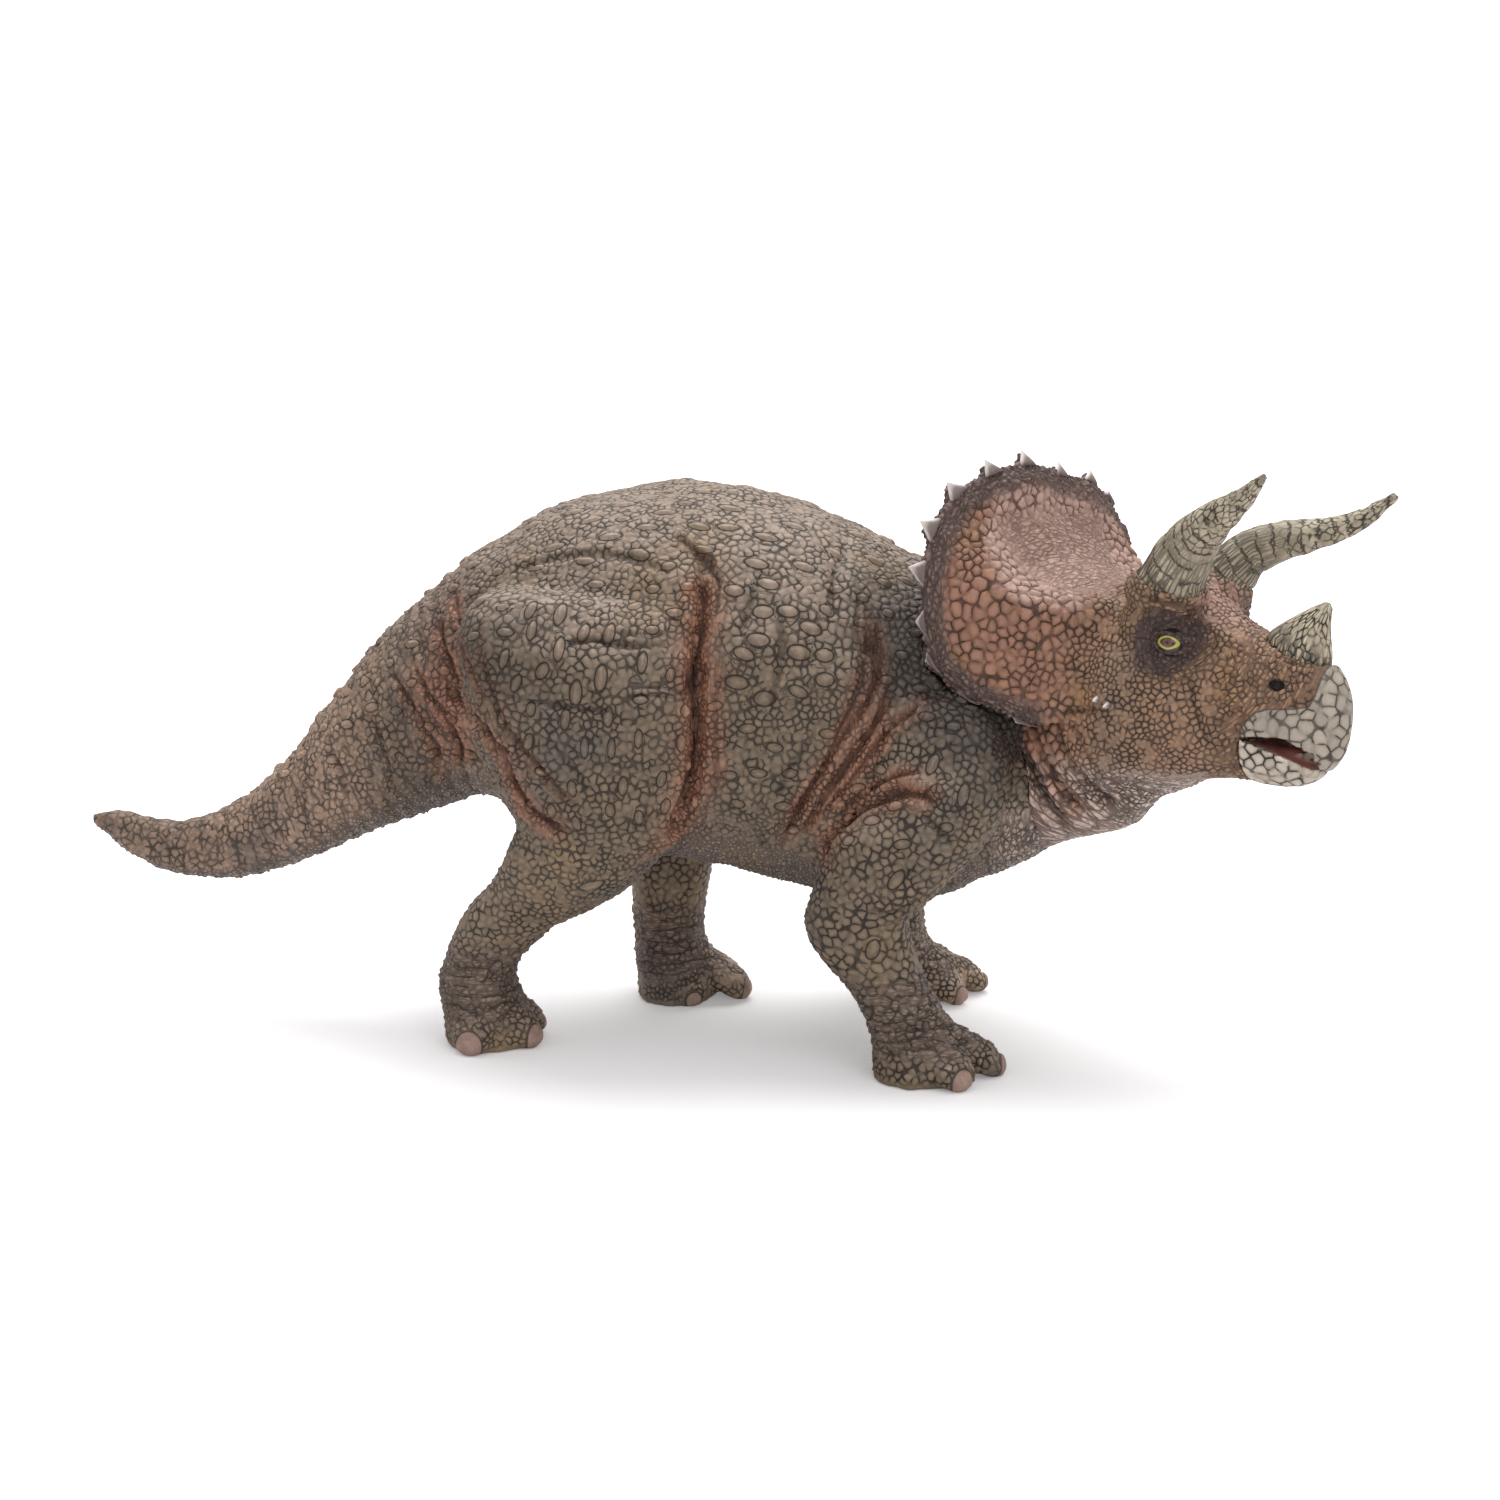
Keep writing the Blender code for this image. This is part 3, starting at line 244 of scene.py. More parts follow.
def joined(nodes, swell):
    """One mesh of several nodes, grown until the glue gaps close."""
    whole = bmesh.new()
    for node in nodes:
        shape = node_shape(node, swell)
        part = bpy.data.meshes.new(node + "_copy")
        shape.to_mesh(part)
        shape.free()
        whole.from_mesh(part)
        bpy.data.meshes.remove(part)
    mesh = bpy.data.meshes.new("joined")
    whole.to_mesh(mesh)
    whole.free()
    return mesh


def modified(mesh, kind, **settings):
    """Mesh after one modifier."""
    thing = placed("work", mesh)
    step = thing.modifiers.new("step", kind)
    for name, value in settings.items():
        setattr(step, name, value)
    graph = bpy.context.evaluated_depsgraph_get()
    result = bpy.data.meshes.new_from_object(thing.evaluated_get(graph))
    bpy.data.objects.remove(thing)
    bpy.data.meshes.remove(mesh)
    return result


def nearest_node(points, nodes):
    """Index of the node whose surface is nearest to each point."""
    best = np.full(len(points), 1e9)
    owner = np.zeros(len(points), np.int32)
    for index, node in enumerate(nodes):
        low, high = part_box(node)
        low, high = np.array(low) / MM - 2, np.array(high) / MM + 2
        inside = np.flatnonzero(np.all((points > low) & (points < high), axis=1))
        shape = node_shape(node, 0)
        tree = BVHTree.FromBMesh(shape)
        shape.free()
        gaps = np.array([tree.find_nearest(point)[3] for point in points[inside] * MM])
        closer = gaps < best[inside]
        best[inside[closer]] = gaps[closer]
        owner[inside[closer]] = index
    return owner


# Swell that closes the glue gaps in millimetres, and shares of one smoothing
SWELL = 0.2
SMOOTHING = (0.55, -0.35)


def fused_skin(nodes, kept, grid, rounds):
    """Even four-sided skin over several nodes, with each face's node; only some nodes' faces are kept."""
    mesh = modified(joined(nodes, SWELL * MM), "REMESH", mode="VOXEL", voxel_size=grid)
    points, edges = mesh_points(mesh), mesh_edges(mesh)
    for share in SMOOTHING * rounds:
        points = relaxed(points, edges, share)
    set_points(mesh, points)
    faces = mesh_faces(mesh)
    owner = mesh.attributes.new("owner", "INT", "FACE")
    owners = nearest_node(points[faces].mean(1), nodes)
    owner.data.foreach_set("value", owners)
    if len(kept) < len(nodes):
        shape = bmesh.new()
        shape.from_mesh(mesh)
        shape.faces.ensure_lookup_table()
        names = [nodes.index(name) for name in kept]
        gone = [shape.faces[index] for index in np.flatnonzero(~np.isin(owners, names))]
        bmesh.ops.delete(shape, geom=gone, context="FACES")
        shape.to_mesh(mesh)
        shape.free()
    return modified(mesh, "SUBSURF", levels=1, render_levels=1)


def store(mesh, name, kind, domain, field, values):
    """Keep values as a mesh attribute; a colour gets its alpha of 1 here."""
    if kind == "FLOAT_COLOR":
        values = np.hstack([values, np.ones((len(values), 1))])
    mesh.attributes.new(name, kind, domain).data.foreach_set(field, values.astype(np.float32).ravel())


class Skin:
    """Points, faces and fields of one fused skin while it is shaped and painted."""

    def __init__(self, nodes, grid, kept=(), rounds=4):
        mesh = fused_skin(nodes, kept or nodes, grid, rounds)
        self.nodes = nodes
        self.mesh = mesh
        self.points = mesh_points(mesh)
        self.faces = mesh_faces(mesh)
        self.owner = rows_of(mesh.attributes["owner"].data, "value", 1, np.int32).ravel()
        self.point_owner = np.zeros(len(self.points), np.int32)
        self.point_owner[self.faces.ravel()] = np.repeat(self.owner, 4)
        self.point_face = np.zeros(len(self.points), np.int32)
        self.point_face[self.faces.ravel()] = np.repeat(np.arange(len(self.faces)), 4)
        self.numbers = {}
        self.vectors = {}
        self.colours = {}
        self.face_numbers = {}
        self.face_vectors = {}

    def normals(self):
        set_points(self.mesh, self.points)
        return rows_of(self.mesh.vertex_normals, "vector", 3, np.float32).astype(float)

    def push(self, amount, normals):
        """Move the points along normals."""
        self.points = self.points + normals * amount[:, None]

    def part(self, node):
        """1 on one node's points, 0 elsewhere."""
        return (self.point_owner == self.nodes.index(node)).astype(float)

    def pieces(self, material, wanted, slot):
        """Closed pieces; each group of faces stands for a CAD node."""
        made = []
        for group, node in wanted.items():
            chosen = np.flatnonzero(self.owner == self.nodes.index(group))
            used, corners = np.unique(self.faces[chosen], return_inverse=True)
            corners = corners.reshape(-1, 4)
            made.append(self.piece(group, node, used, corners, chosen, material, slot))
        return made

    def piece(self, group, node, used, quads, chosen, material, slot):
        points = self.points[used]
        caps, centres = hole_caps(points, quads)
        mesh = bpy.data.meshes.new(group + "_skin")
        total = len(points) + len(centres)
        mesh.vertices.add(total)
        everything = np.vstack([points] + [centre[None] for centre in centres])
        mesh.vertices.foreach_set("co", (everything * MM).ravel())
        mesh.loops.add(quads.size + caps.size)
        mesh.loops.foreach_set("vertex_index", np.concatenate([quads.ravel(), caps.ravel()]).astype(np.int32))
        mesh.polygons.add(len(quads) + len(caps))
        starts = np.concatenate([np.arange(len(quads)) * 4, quads.size + np.arange(len(caps)) * 3])
        mesh.polygons.foreach_set("loop_start", starts.astype(np.int32))
        mesh.update(calc_edges=True)
        mesh.shade_smooth()
        for fields, kind, domain, field, rows, extra in (
                (self.numbers, "FLOAT", "POINT", "value", used, len(centres)),
                (self.vectors, "FLOAT_VECTOR", "POINT", "vector", used, len(centres)),
                (self.colours, "FLOAT_COLOR", "POINT", "color", used, len(centres)),
                (self.face_numbers, "FLOAT", "FACE", "value", chosen, len(caps)),
                (self.face_vectors, "FLOAT_VECTOR", "FACE", "vector", chosen, len(caps))):
            for name, values in fields.items():
                values = values[rows]
                store(mesh, name, kind, domain, field, np.concatenate([values, values[:1].repeat(extra, 0)]))
        mesh.materials.append(material)
        return mounted(placed(group + "_skin", mesh), slot, node)


def hole_caps(points, quads):
    """Triangles that close a piece's open edges to a point inside it."""
    pairs = np.concatenate([quads[:, [0, 1]], quads[:, [1, 2]], quads[:, [2, 3]], quads[:, [3, 0]]])
    keys = pairs.min(1).astype(np.int64) * len(points) + pairs.max(1)
    _, first, counts = np.unique(keys, return_index=True, return_counts=True)
    open_pairs = pairs[first[counts == 1]]
    after = {}
    for start, end in open_pairs:
        after.setdefault(int(start), []).append(int(end))
    caps, centres = [], []
    while after:
        start = next(iter(after))
        loop = [start]
        while loop[-1] in after:
            ends = after[loop[-1]]
            following = ends.pop()
            if not ends:
                del after[loop[-1]]
            if following == start:
                break
            loop.append(following)
        centre = len(points) + len(centres)
        centres.append(points[loop].mean(0))
        caps += [(loop[(index + 1) % len(loop)], loop[index], centre) for index in range(len(loop))]
    return np.array(caps, np.int32).reshape(-1, 3), centres


def mounted(thing, slot, *nodes):
    """Ride on the figure and hide the CAD nodes that it stands for; the slot is not used."""
    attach(thing, "root")
    if nodes:
        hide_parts(*nodes)
    return thing


# Scales, creases and folds

def scattered(points, reach, seed):
    """Points picked at random so that no two are nearer than their reach."""
    order = np.random.default_rng(seed).permutation(len(points))
    cell = float(reach.max())
    grid = {}
    picked = []
    keys = np.floor(points / cell).astype(int)
    around = [(a, b, c) for a in (-1, 0, 1) for b in (-1, 0, 1) for c in (-1, 0, 1)]
    rows, limits, boxes = points.tolist(), (reach ** 2).tolist(), keys.tolist()
    for index in order.tolist():
        x, y, z = rows[index]
        i, j, k = boxes[index]
        limit = limits[index]
        clear = True
        for a, b, c in around:
            for u, v, w in grid.get((i + a, j + b, k + c), ()):
                if (u - x) ** 2 + (v - y) ** 2 + (w - z) ** 2 < limit:
                    clear = False
                    break
            if not clear:
                break
        if clear:
            grid.setdefault((i, j, k), []).append((x, y, z))
            picked.append(index)
    return np.array(picked)


def tree_of(points):
    tree = kdtree.KDTree(len(points))
    for index, point in enumerate(np.asarray(points).tolist()):
        tree.insert(point, index)
    tree.balance()
    return tree


def add_scales(skin, reach, seed):
    """Seeds of the scales, stored on the faces so that the cracks stay sharp in the material."""
    place = skin.points + np.stack([ripple(skin.points, 2.6, seed + axis) for axis in range(3)], 1) * 0.16
    seeds = place[scattered(place, reach, seed)]
    tree = tree_of(seeds)
    middles = place[skin.faces].mean(1)
    near = np.array([[hit[1] for hit in tree.find_n(point, 4)] for point in middles.tolist()])
    own = np.linalg.norm(place[:, None] - seeds[near[skin.point_face]], axis=2)
    own.sort(axis=1)
    skin.vectors["scale_place"] = place
    skin.numbers["scale_size"] = reach
    for index in range(4):
        skin.face_vectors[f"scale_seed_{index}"] = seeds[near[:, index]]
    tones = np.random.default_rng(seed + 9).uniform(0, 1, len(seeds))
    skin.face_numbers["scale_tone"] = tones[near[:, 0]]
    return own[:, 1] - own[:, 0]


def add_knobs(skin, centres, axes, long, wide):
    """Oval scales: offset from the nearest one in its own axes, and how much they rise."""
    tree = tree_of(centres)
    found = [tree.find(point) for point in skin.points.tolist()]
    near = np.array([hit[1] for hit in found])
    gap = np.array([hit[2] for hit in found])
    offset = skin.points - centres[near]
    axis = axes[near]
    along = (offset * axis).sum(1)
    across = offset - along[:, None] * axis
    place = along[:, None] / long[near][:, None] * axis + across / wide[near][:, None]
    reach = np.linalg.norm(place, axis=1)
    far = (reach > 2.2) | (gap > long.max() * 2.2)
    place[far] = (3, 3, 3)
    skin.vectors["knob_place"] = place
    return np.where(far, 5, reach)


def camera_axes(stage):
    """Place of the camera, and its directions to the right, up and back."""
    turn, rise = stage.azimuth, stage.elevation
    right = Vector((math.cos(turn), math.sin(turn), 0))
    back = Vector((math.sin(turn) * math.cos(rise), -math.cos(turn) * math.cos(rise), math.sin(rise)))
    return TARGET + back * stage.distance, right, back.cross(right), back


def seen_places(stage, tree, spots):
    """Places on the figure, in millimetres, that the camera sees at spots of the photograph."""
    eye, right, up, back = camera_axes(stage)
    found = []
    for column, row in spots:
        aside = (column / PICTURE - 0.5) * stage.view_width
        above = (0.5 - row / PICTURE) * stage.view_width
        hit = tree.ray_cast(eye, (right * aside + up * above - back * stage.distance).normalized())[0]
        if hit is not None:
            found.append(np.array(hit) / MM)
    return np.array(found)


def creases(skin, lines, stage, tree):
    """Depth, darkness and rust of the creases of the near side, drawn on both flanks."""
    place = np.stack([skin.points[:, 0], -np.abs(skin.points[:, 1]), skin.points[:, 2]], 1)
    depth, dark, rust = (np.zeros(len(place)) for _ in range(3))
    for spots, width, deep, darkness, rusty in lines:
        line = seen_places(stage, tree, spots)
        low, high = line.min(0) - width * 6, line.max(0) + width * 6
        near = np.flatnonzero(np.all((place > low) & (place < high), axis=1))
        gap, along = line_distance(place[near], line)
        gap = gap + ripple(place[near], 5, 3) * 0.4 * np.minimum(gap, 1)
        fade = smoothstep(0, 0.12, along) * smoothstep(1, 0.88, along)
        depth[near] += fade * deep * (hump(gap, width) - 0.32 * hump(gap - 2.1 * width, width))
        dark[near] = np.maximum(dark[near], fade * darkness * hump(gap, 0.3 + 0.2 * width))
        rust[near] = np.maximum(rust[near], fade * rusty * hump(gap, width * 2.6))
    return depth, dark, rust


# Creases on the near side: spots of the photograph, then half width, depth, darkness and rust
BODY_CREASES = [
    ([(697, 560), (705, 583), (704, 602), (699, 628), (697, 664), (696, 699), (697, 738), (693, 771),
     (683, 804), (668, 840), (650, 863)], 1.15, 2.1, 1.0, 1.0),
    ([(671, 531), (689, 546), (706, 562), (719, 583), (717, 603), (715, 623)], 0.5, 0.6, 0.8, 0.3),
    ([(719, 652), (716, 689), (715, 725), (716, 761), (714, 796)], 0.5, 0.5, 0.5, 0.6),
    ([(438, 615), (441, 638), (449, 661), (459, 685), (476, 714), (494, 738)], 0.6, 0.9, 0.9, 0.8),
    ([(454, 586), (459, 623), (461, 649), (472, 676), (490, 704)], 0.5, 0.7, 0.7, 1.0),
    ([(479, 616), (487, 674), (497, 712), (512, 738), (543, 771), (563, 797), (583, 809)], 0.5, 0.6,
     0.7, 0.3),
    ([(440, 670), (459, 700), (485, 731), (503, 753), (512, 776), (527, 809), (553, 827), (576, 840)],
     0.8, 1.3, 1.0, 0.8),
    ([(392, 671), (405, 695), (421, 720), (436, 750), (438, 781)], 0.6, 0.8, 0.7, 0.4),
    ([(411, 658), (423, 685), (444, 715), (459, 745), (464, 769)], 0.6, 0.8, 0.8, 0.5),
    ([(359, 702), (377, 732), (389, 764), (393, 796)], 0.55, 0.6, 0.6, 0.1),
    ([(325, 734), (338, 764), (347, 793), (348, 821)], 0.5, 0.5, 0.5, 0.0),
    ([(294, 764), (303, 794), (307, 819)], 0.5, 0.4, 0.4, 0.0),
    ([(490, 689), (510, 697), (543, 705), (579, 710), (619, 712)], 0.4, 0.45, 0.7, 0.0),
    ([(627, 687), (655, 687), (691, 695)], 0.35, 0.4, 0.8, 0.0),
    ([(624, 697), (655, 696), (691, 702)], 0.35, 0.4, 0.7, 0.0),
    ([(563, 646), (594, 641), (630, 646), (668, 646)], 0.35, 0.4, 0.7, 0.0),
    ([(617, 634), (668, 636)], 0.35, 0.35, 0.6, 0.0),
    ([(584, 764), (612, 766), (668, 763)], 0.35, 0.3, 0.4, 0.0),
    ([(547, 739), (573, 768), (589, 794)], 0.4, 0.4, 0.5, 0.0),
    ([(506, 573), (548, 558), (591, 553), (633, 558), (676, 576)], 0.7, 0.5, 0.35, 0.0),
    ([(867, 595), (868, 648), (860, 687), (846, 720), (825, 763), (807, 794), (790, 827), (777, 852)],
     0.65, 0.9, 0.85, 0.5),
    ([(876, 611), (876, 659), (874, 686), (859, 715), (838, 746), (823, 771), (803, 802), (790, 832)],
     0.6, 0.9, 0.8, 0.9),
    ([(892, 688), (874, 725), (859, 748), (839, 777), (818, 807), (800, 837)], 0.6, 0.9, 0.9, 1.0),
    ([(935, 692), (910, 713), (889, 727), (874, 751), (853, 776), (833, 799), (818, 822)], 0.6, 0.8,
     0.8, 1.0),
    ([(941, 811), (925, 795), (899, 792), (879, 799), (858, 811), (838, 830), (826, 847), (821, 874)],
     0.85, 1.5, 1.0, 0.8),
    ([(923, 770), (895, 776), (874, 787), (856, 799), (838, 819)], 0.55, 0.8, 0.8, 0.9),
    ([(847, 539), (835, 572), (830, 603), (831, 629)], 0.45, 0.35, 0.5, 0.0),
    ([(782, 609), (782, 649), (777, 682), (769, 711)], 0.45, 0.35, 0.5, 0.0),
    ([(757, 579), (748, 613), (741, 639)], 0.45, 0.35, 0.5, 0.0),
    ([(856, 573), (857, 613), (856, 655)], 0.45, 0.4, 0.6, 0.0),
    ([(808, 627), (805, 670)], 0.4, 0.3, 0.5, 0.0),
    ([(815, 729), (800, 758), (787, 771), (775, 798)], 0.45, 0.4, 0.6, 0.0),
    ([(762, 796), (759, 849)], 0.4, 0.35, 0.6, 0.0),
    ([(1015, 715), (1021, 756), (1032, 787), (1046, 822)], 0.8, 1.2, 1.0, 0.3),
    ([(991, 711), (996, 754), (1008, 790), (1017, 820)], 0.5, 0.6, 0.7, 0.2),
    ([(869, 911), (887, 914), (901, 909), (920, 898)], 0.55, 0.7, 0.8, 0.0),
    ([(921, 814), (940, 831), (953, 847)], 0.4, 0.4, 0.7, 0.0),
    ([(905, 869), (921, 891)], 0.4, 0.4, 0.7, 0.0),
    ([(881, 1035), (915, 1030), (944, 1019)], 0.4, 0.45, 0.6, 0.2),
    ([(883, 1044), (920, 1039), (955, 1023)], 0.35, 0.4, 0.6, 0.2),
]
# Oval scales on the near side: column and row in the photograph, tilt in degrees, half length, half width
KNOBS = [
    (533, 525, 12, 1.9, 0.8), (574, 512, 12, 1.7, 0.8), (591, 520, 5, 1.8, 0.8), (623, 504, 0, 2, 0.8),
    (664, 511, -5, 1.8, 0.8), (699, 525, -8, 1.7, 0.8), (514, 538, 20, 1.7, 0.7), (554, 546, 8, 1.8, 0.7),
    (611, 537, 5, 1.8, 0.8), (648, 527, 0, 1.7, 0.7), (703, 548, -10, 1.6, 0.7), (534, 565, -35, 1.5, 0.7),
    (586, 560, -10, 1.6, 0.8), (637, 555, -8, 1.7, 0.9), (483, 598, 80, 2.1, 0.8), (530, 610, 82, 1.6, 0.8),
    (559, 613, 84, 1.9, 0.9), (505, 659, 78, 1.6, 0.7), (559, 649, 88, 1.9, 0.8), (583, 633, 75, 1.5, 0.8),
    (608, 635, 80, 1.8, 0.8), (541, 670, 60, 1.3, 0.9), (602, 679, 84, 2, 0.9), (577, 693, 86, 2, 0.9),
    (565, 720, 84, 1.7, 0.7), (609, 718, 86, 1.6, 0.7), (584, 748, 88, 1.6, 0.6), (610, 750, 86, 1.6, 0.6),
    (636, 605, 60, 1.2, 0.8), (641, 662, 82, 1.6, 0.7), (532, 629, 86, 1.6, 0.7), (587, 602, 30, 1.2, 0.9),
    (639, 738, 86, 1.4, 0.6), (622, 786, 84, 1.5, 0.7), (728, 525, 0, 1.7, 0.8), (765, 537, -8, 1.9, 0.8),
    (731, 507, 0, 1.9, 0.8), (795, 526, -12, 2, 0.8), (756, 563, -5, 1.8, 0.8), (769, 583, -15, 1.7, 0.9),
    (805, 566, -10, 1.8, 0.9), (734, 590, 0, 1.5, 0.9), (763, 610, 0, 1.6, 1), (789, 611, -5, 1.6, 0.9),
    (827, 610, -6, 1.4, 0.8), (759, 640, -5, 1.7, 1), (798, 652, -8, 1.8, 1.1), (811, 628, -15, 1.7, 1),
    (745, 653, -20, 1.6, 0.9), (736, 683, -8, 1.7, 1), (765, 699, 0, 1.6, 1.1), (799, 692, -25, 1.5, 0.8),
    (825, 680, 0, 1.4, 1), (826, 654, 0, 1.4, 1), (835, 552, -16, 1.8, 0.8), (875, 560, -20, 1.7, 0.8),
    (907, 579, -22, 1.6, 0.8), (857, 535, -18, 1.7, 0.8), (397, 631, 55, 1.5, 0.7), (366, 680, 55, 1.5,
    0.7), (873, 950, 75, 1.6, 1), (895, 880, 55, 1.7, 0.9), (933, 764, 70, 1.6, 0.8), (963, 795, 75, 1.8,
    0.8), (591, 886, 15, 2, 0.8), (496, 967, 60, 1.4, 0.8),
]


def knob_seats(skin, normals, stage, tree):
    """Place and direction of the oval scales, and of smaller ones between them, on both flanks."""
    rows = []
    skin_tree = tree_of(skin.points)
    for column, row, tilt, long, wide in KNOBS:
        for spot in seen_places(stage, tree, [(column, row)]):
            rows += [(spot * (1, side, 1), tilt, long, wide) for side in (-1, 1)]
    big = tree_of([row[0] for row in rows])
    place = skin.points
    flank = (place[:, 2] > 42) & (place[:, 0] < 42) & (normals[:, 2] > -0.35)
    chosen = np.flatnonzero(flank)
    picked = chosen[scattered(place[chosen], np.full(len(chosen), 4.6), 5)]
    dice = np.random.default_rng(6)
    for index in picked:
        if big.find(place[index])[2] > 4.0:
            steep = 82 if normals[index, 2] < 0.25 and -38 < place[index, 0] < 0 else 0
            rows.append((place[index], steep + dice.uniform(-16, 16), dice.uniform(1.0, 1.4), 0.7))
    seats = []
    for spot, tilt, long, wide in rows:
        index = skin_tree.find(spot)[1]
        normal = normals[index]
        angle = math.radians(tilt)
        axis = np.array([math.cos(angle), 0, math.sin(angle)])
        axis -= normal * (axis @ normal)
        seats.append((skin.points[index], axis / np.linalg.norm(axis), long, wide))
    return [np.array([seat[column] for seat in seats]) for column in range(4)]


# Feet: middle, reach of the toes, then direction in degrees, reach share and size of each painted hoof
FEET = (
    ((-38.9, -12.9), 13.0, ((-97, 0.82, 0.95), (-22, 0.80, 0.92), (38, 0.84, 0.80), (80, 0.72, 0.60))),
    ((-11.2, 18.1), 13.0, ((-62, 0.72, 0.60), (-6, 1.02, 0.82), (85, 0.75, 0.70))),
    ((35.3, -22.3), 14.5, ((-45, 0.84, 0.84), (8, 1.00, 0.84), (55, 0.85, 0.75))),
    ((28.7, 23.2), 14.5, ((-28, 0.82, 0.72), (18, 0.98, 0.72), (60, 0.85, 0.75))),
)


def hoof_gap(points):
    """How far points lie inside the nearest hoof's outline, in millimetres; less than nothing outside."""
    best = np.full(len(points), -9.0)
    for centre, reach, toes in FEET:
        for angle, share, size in toes:
            ahead = np.array([math.cos(math.radians(angle)), math.sin(math.radians(angle))])
            offset = points[:, :2] - centre
            along = (offset @ ahead - 1.02 * reach * share) / (0.30 * reach * share)
            across = offset @ (-ahead[1], ahead[0]) / (2.8 * size)
            high = (points[:, 2] - 1.9 * size) / (3.1 * size)
            span = np.sqrt(along ** 2 + across ** 2 + high ** 2)
            best = np.maximum(best, (1 - span) * 2.8 * size)
    return best


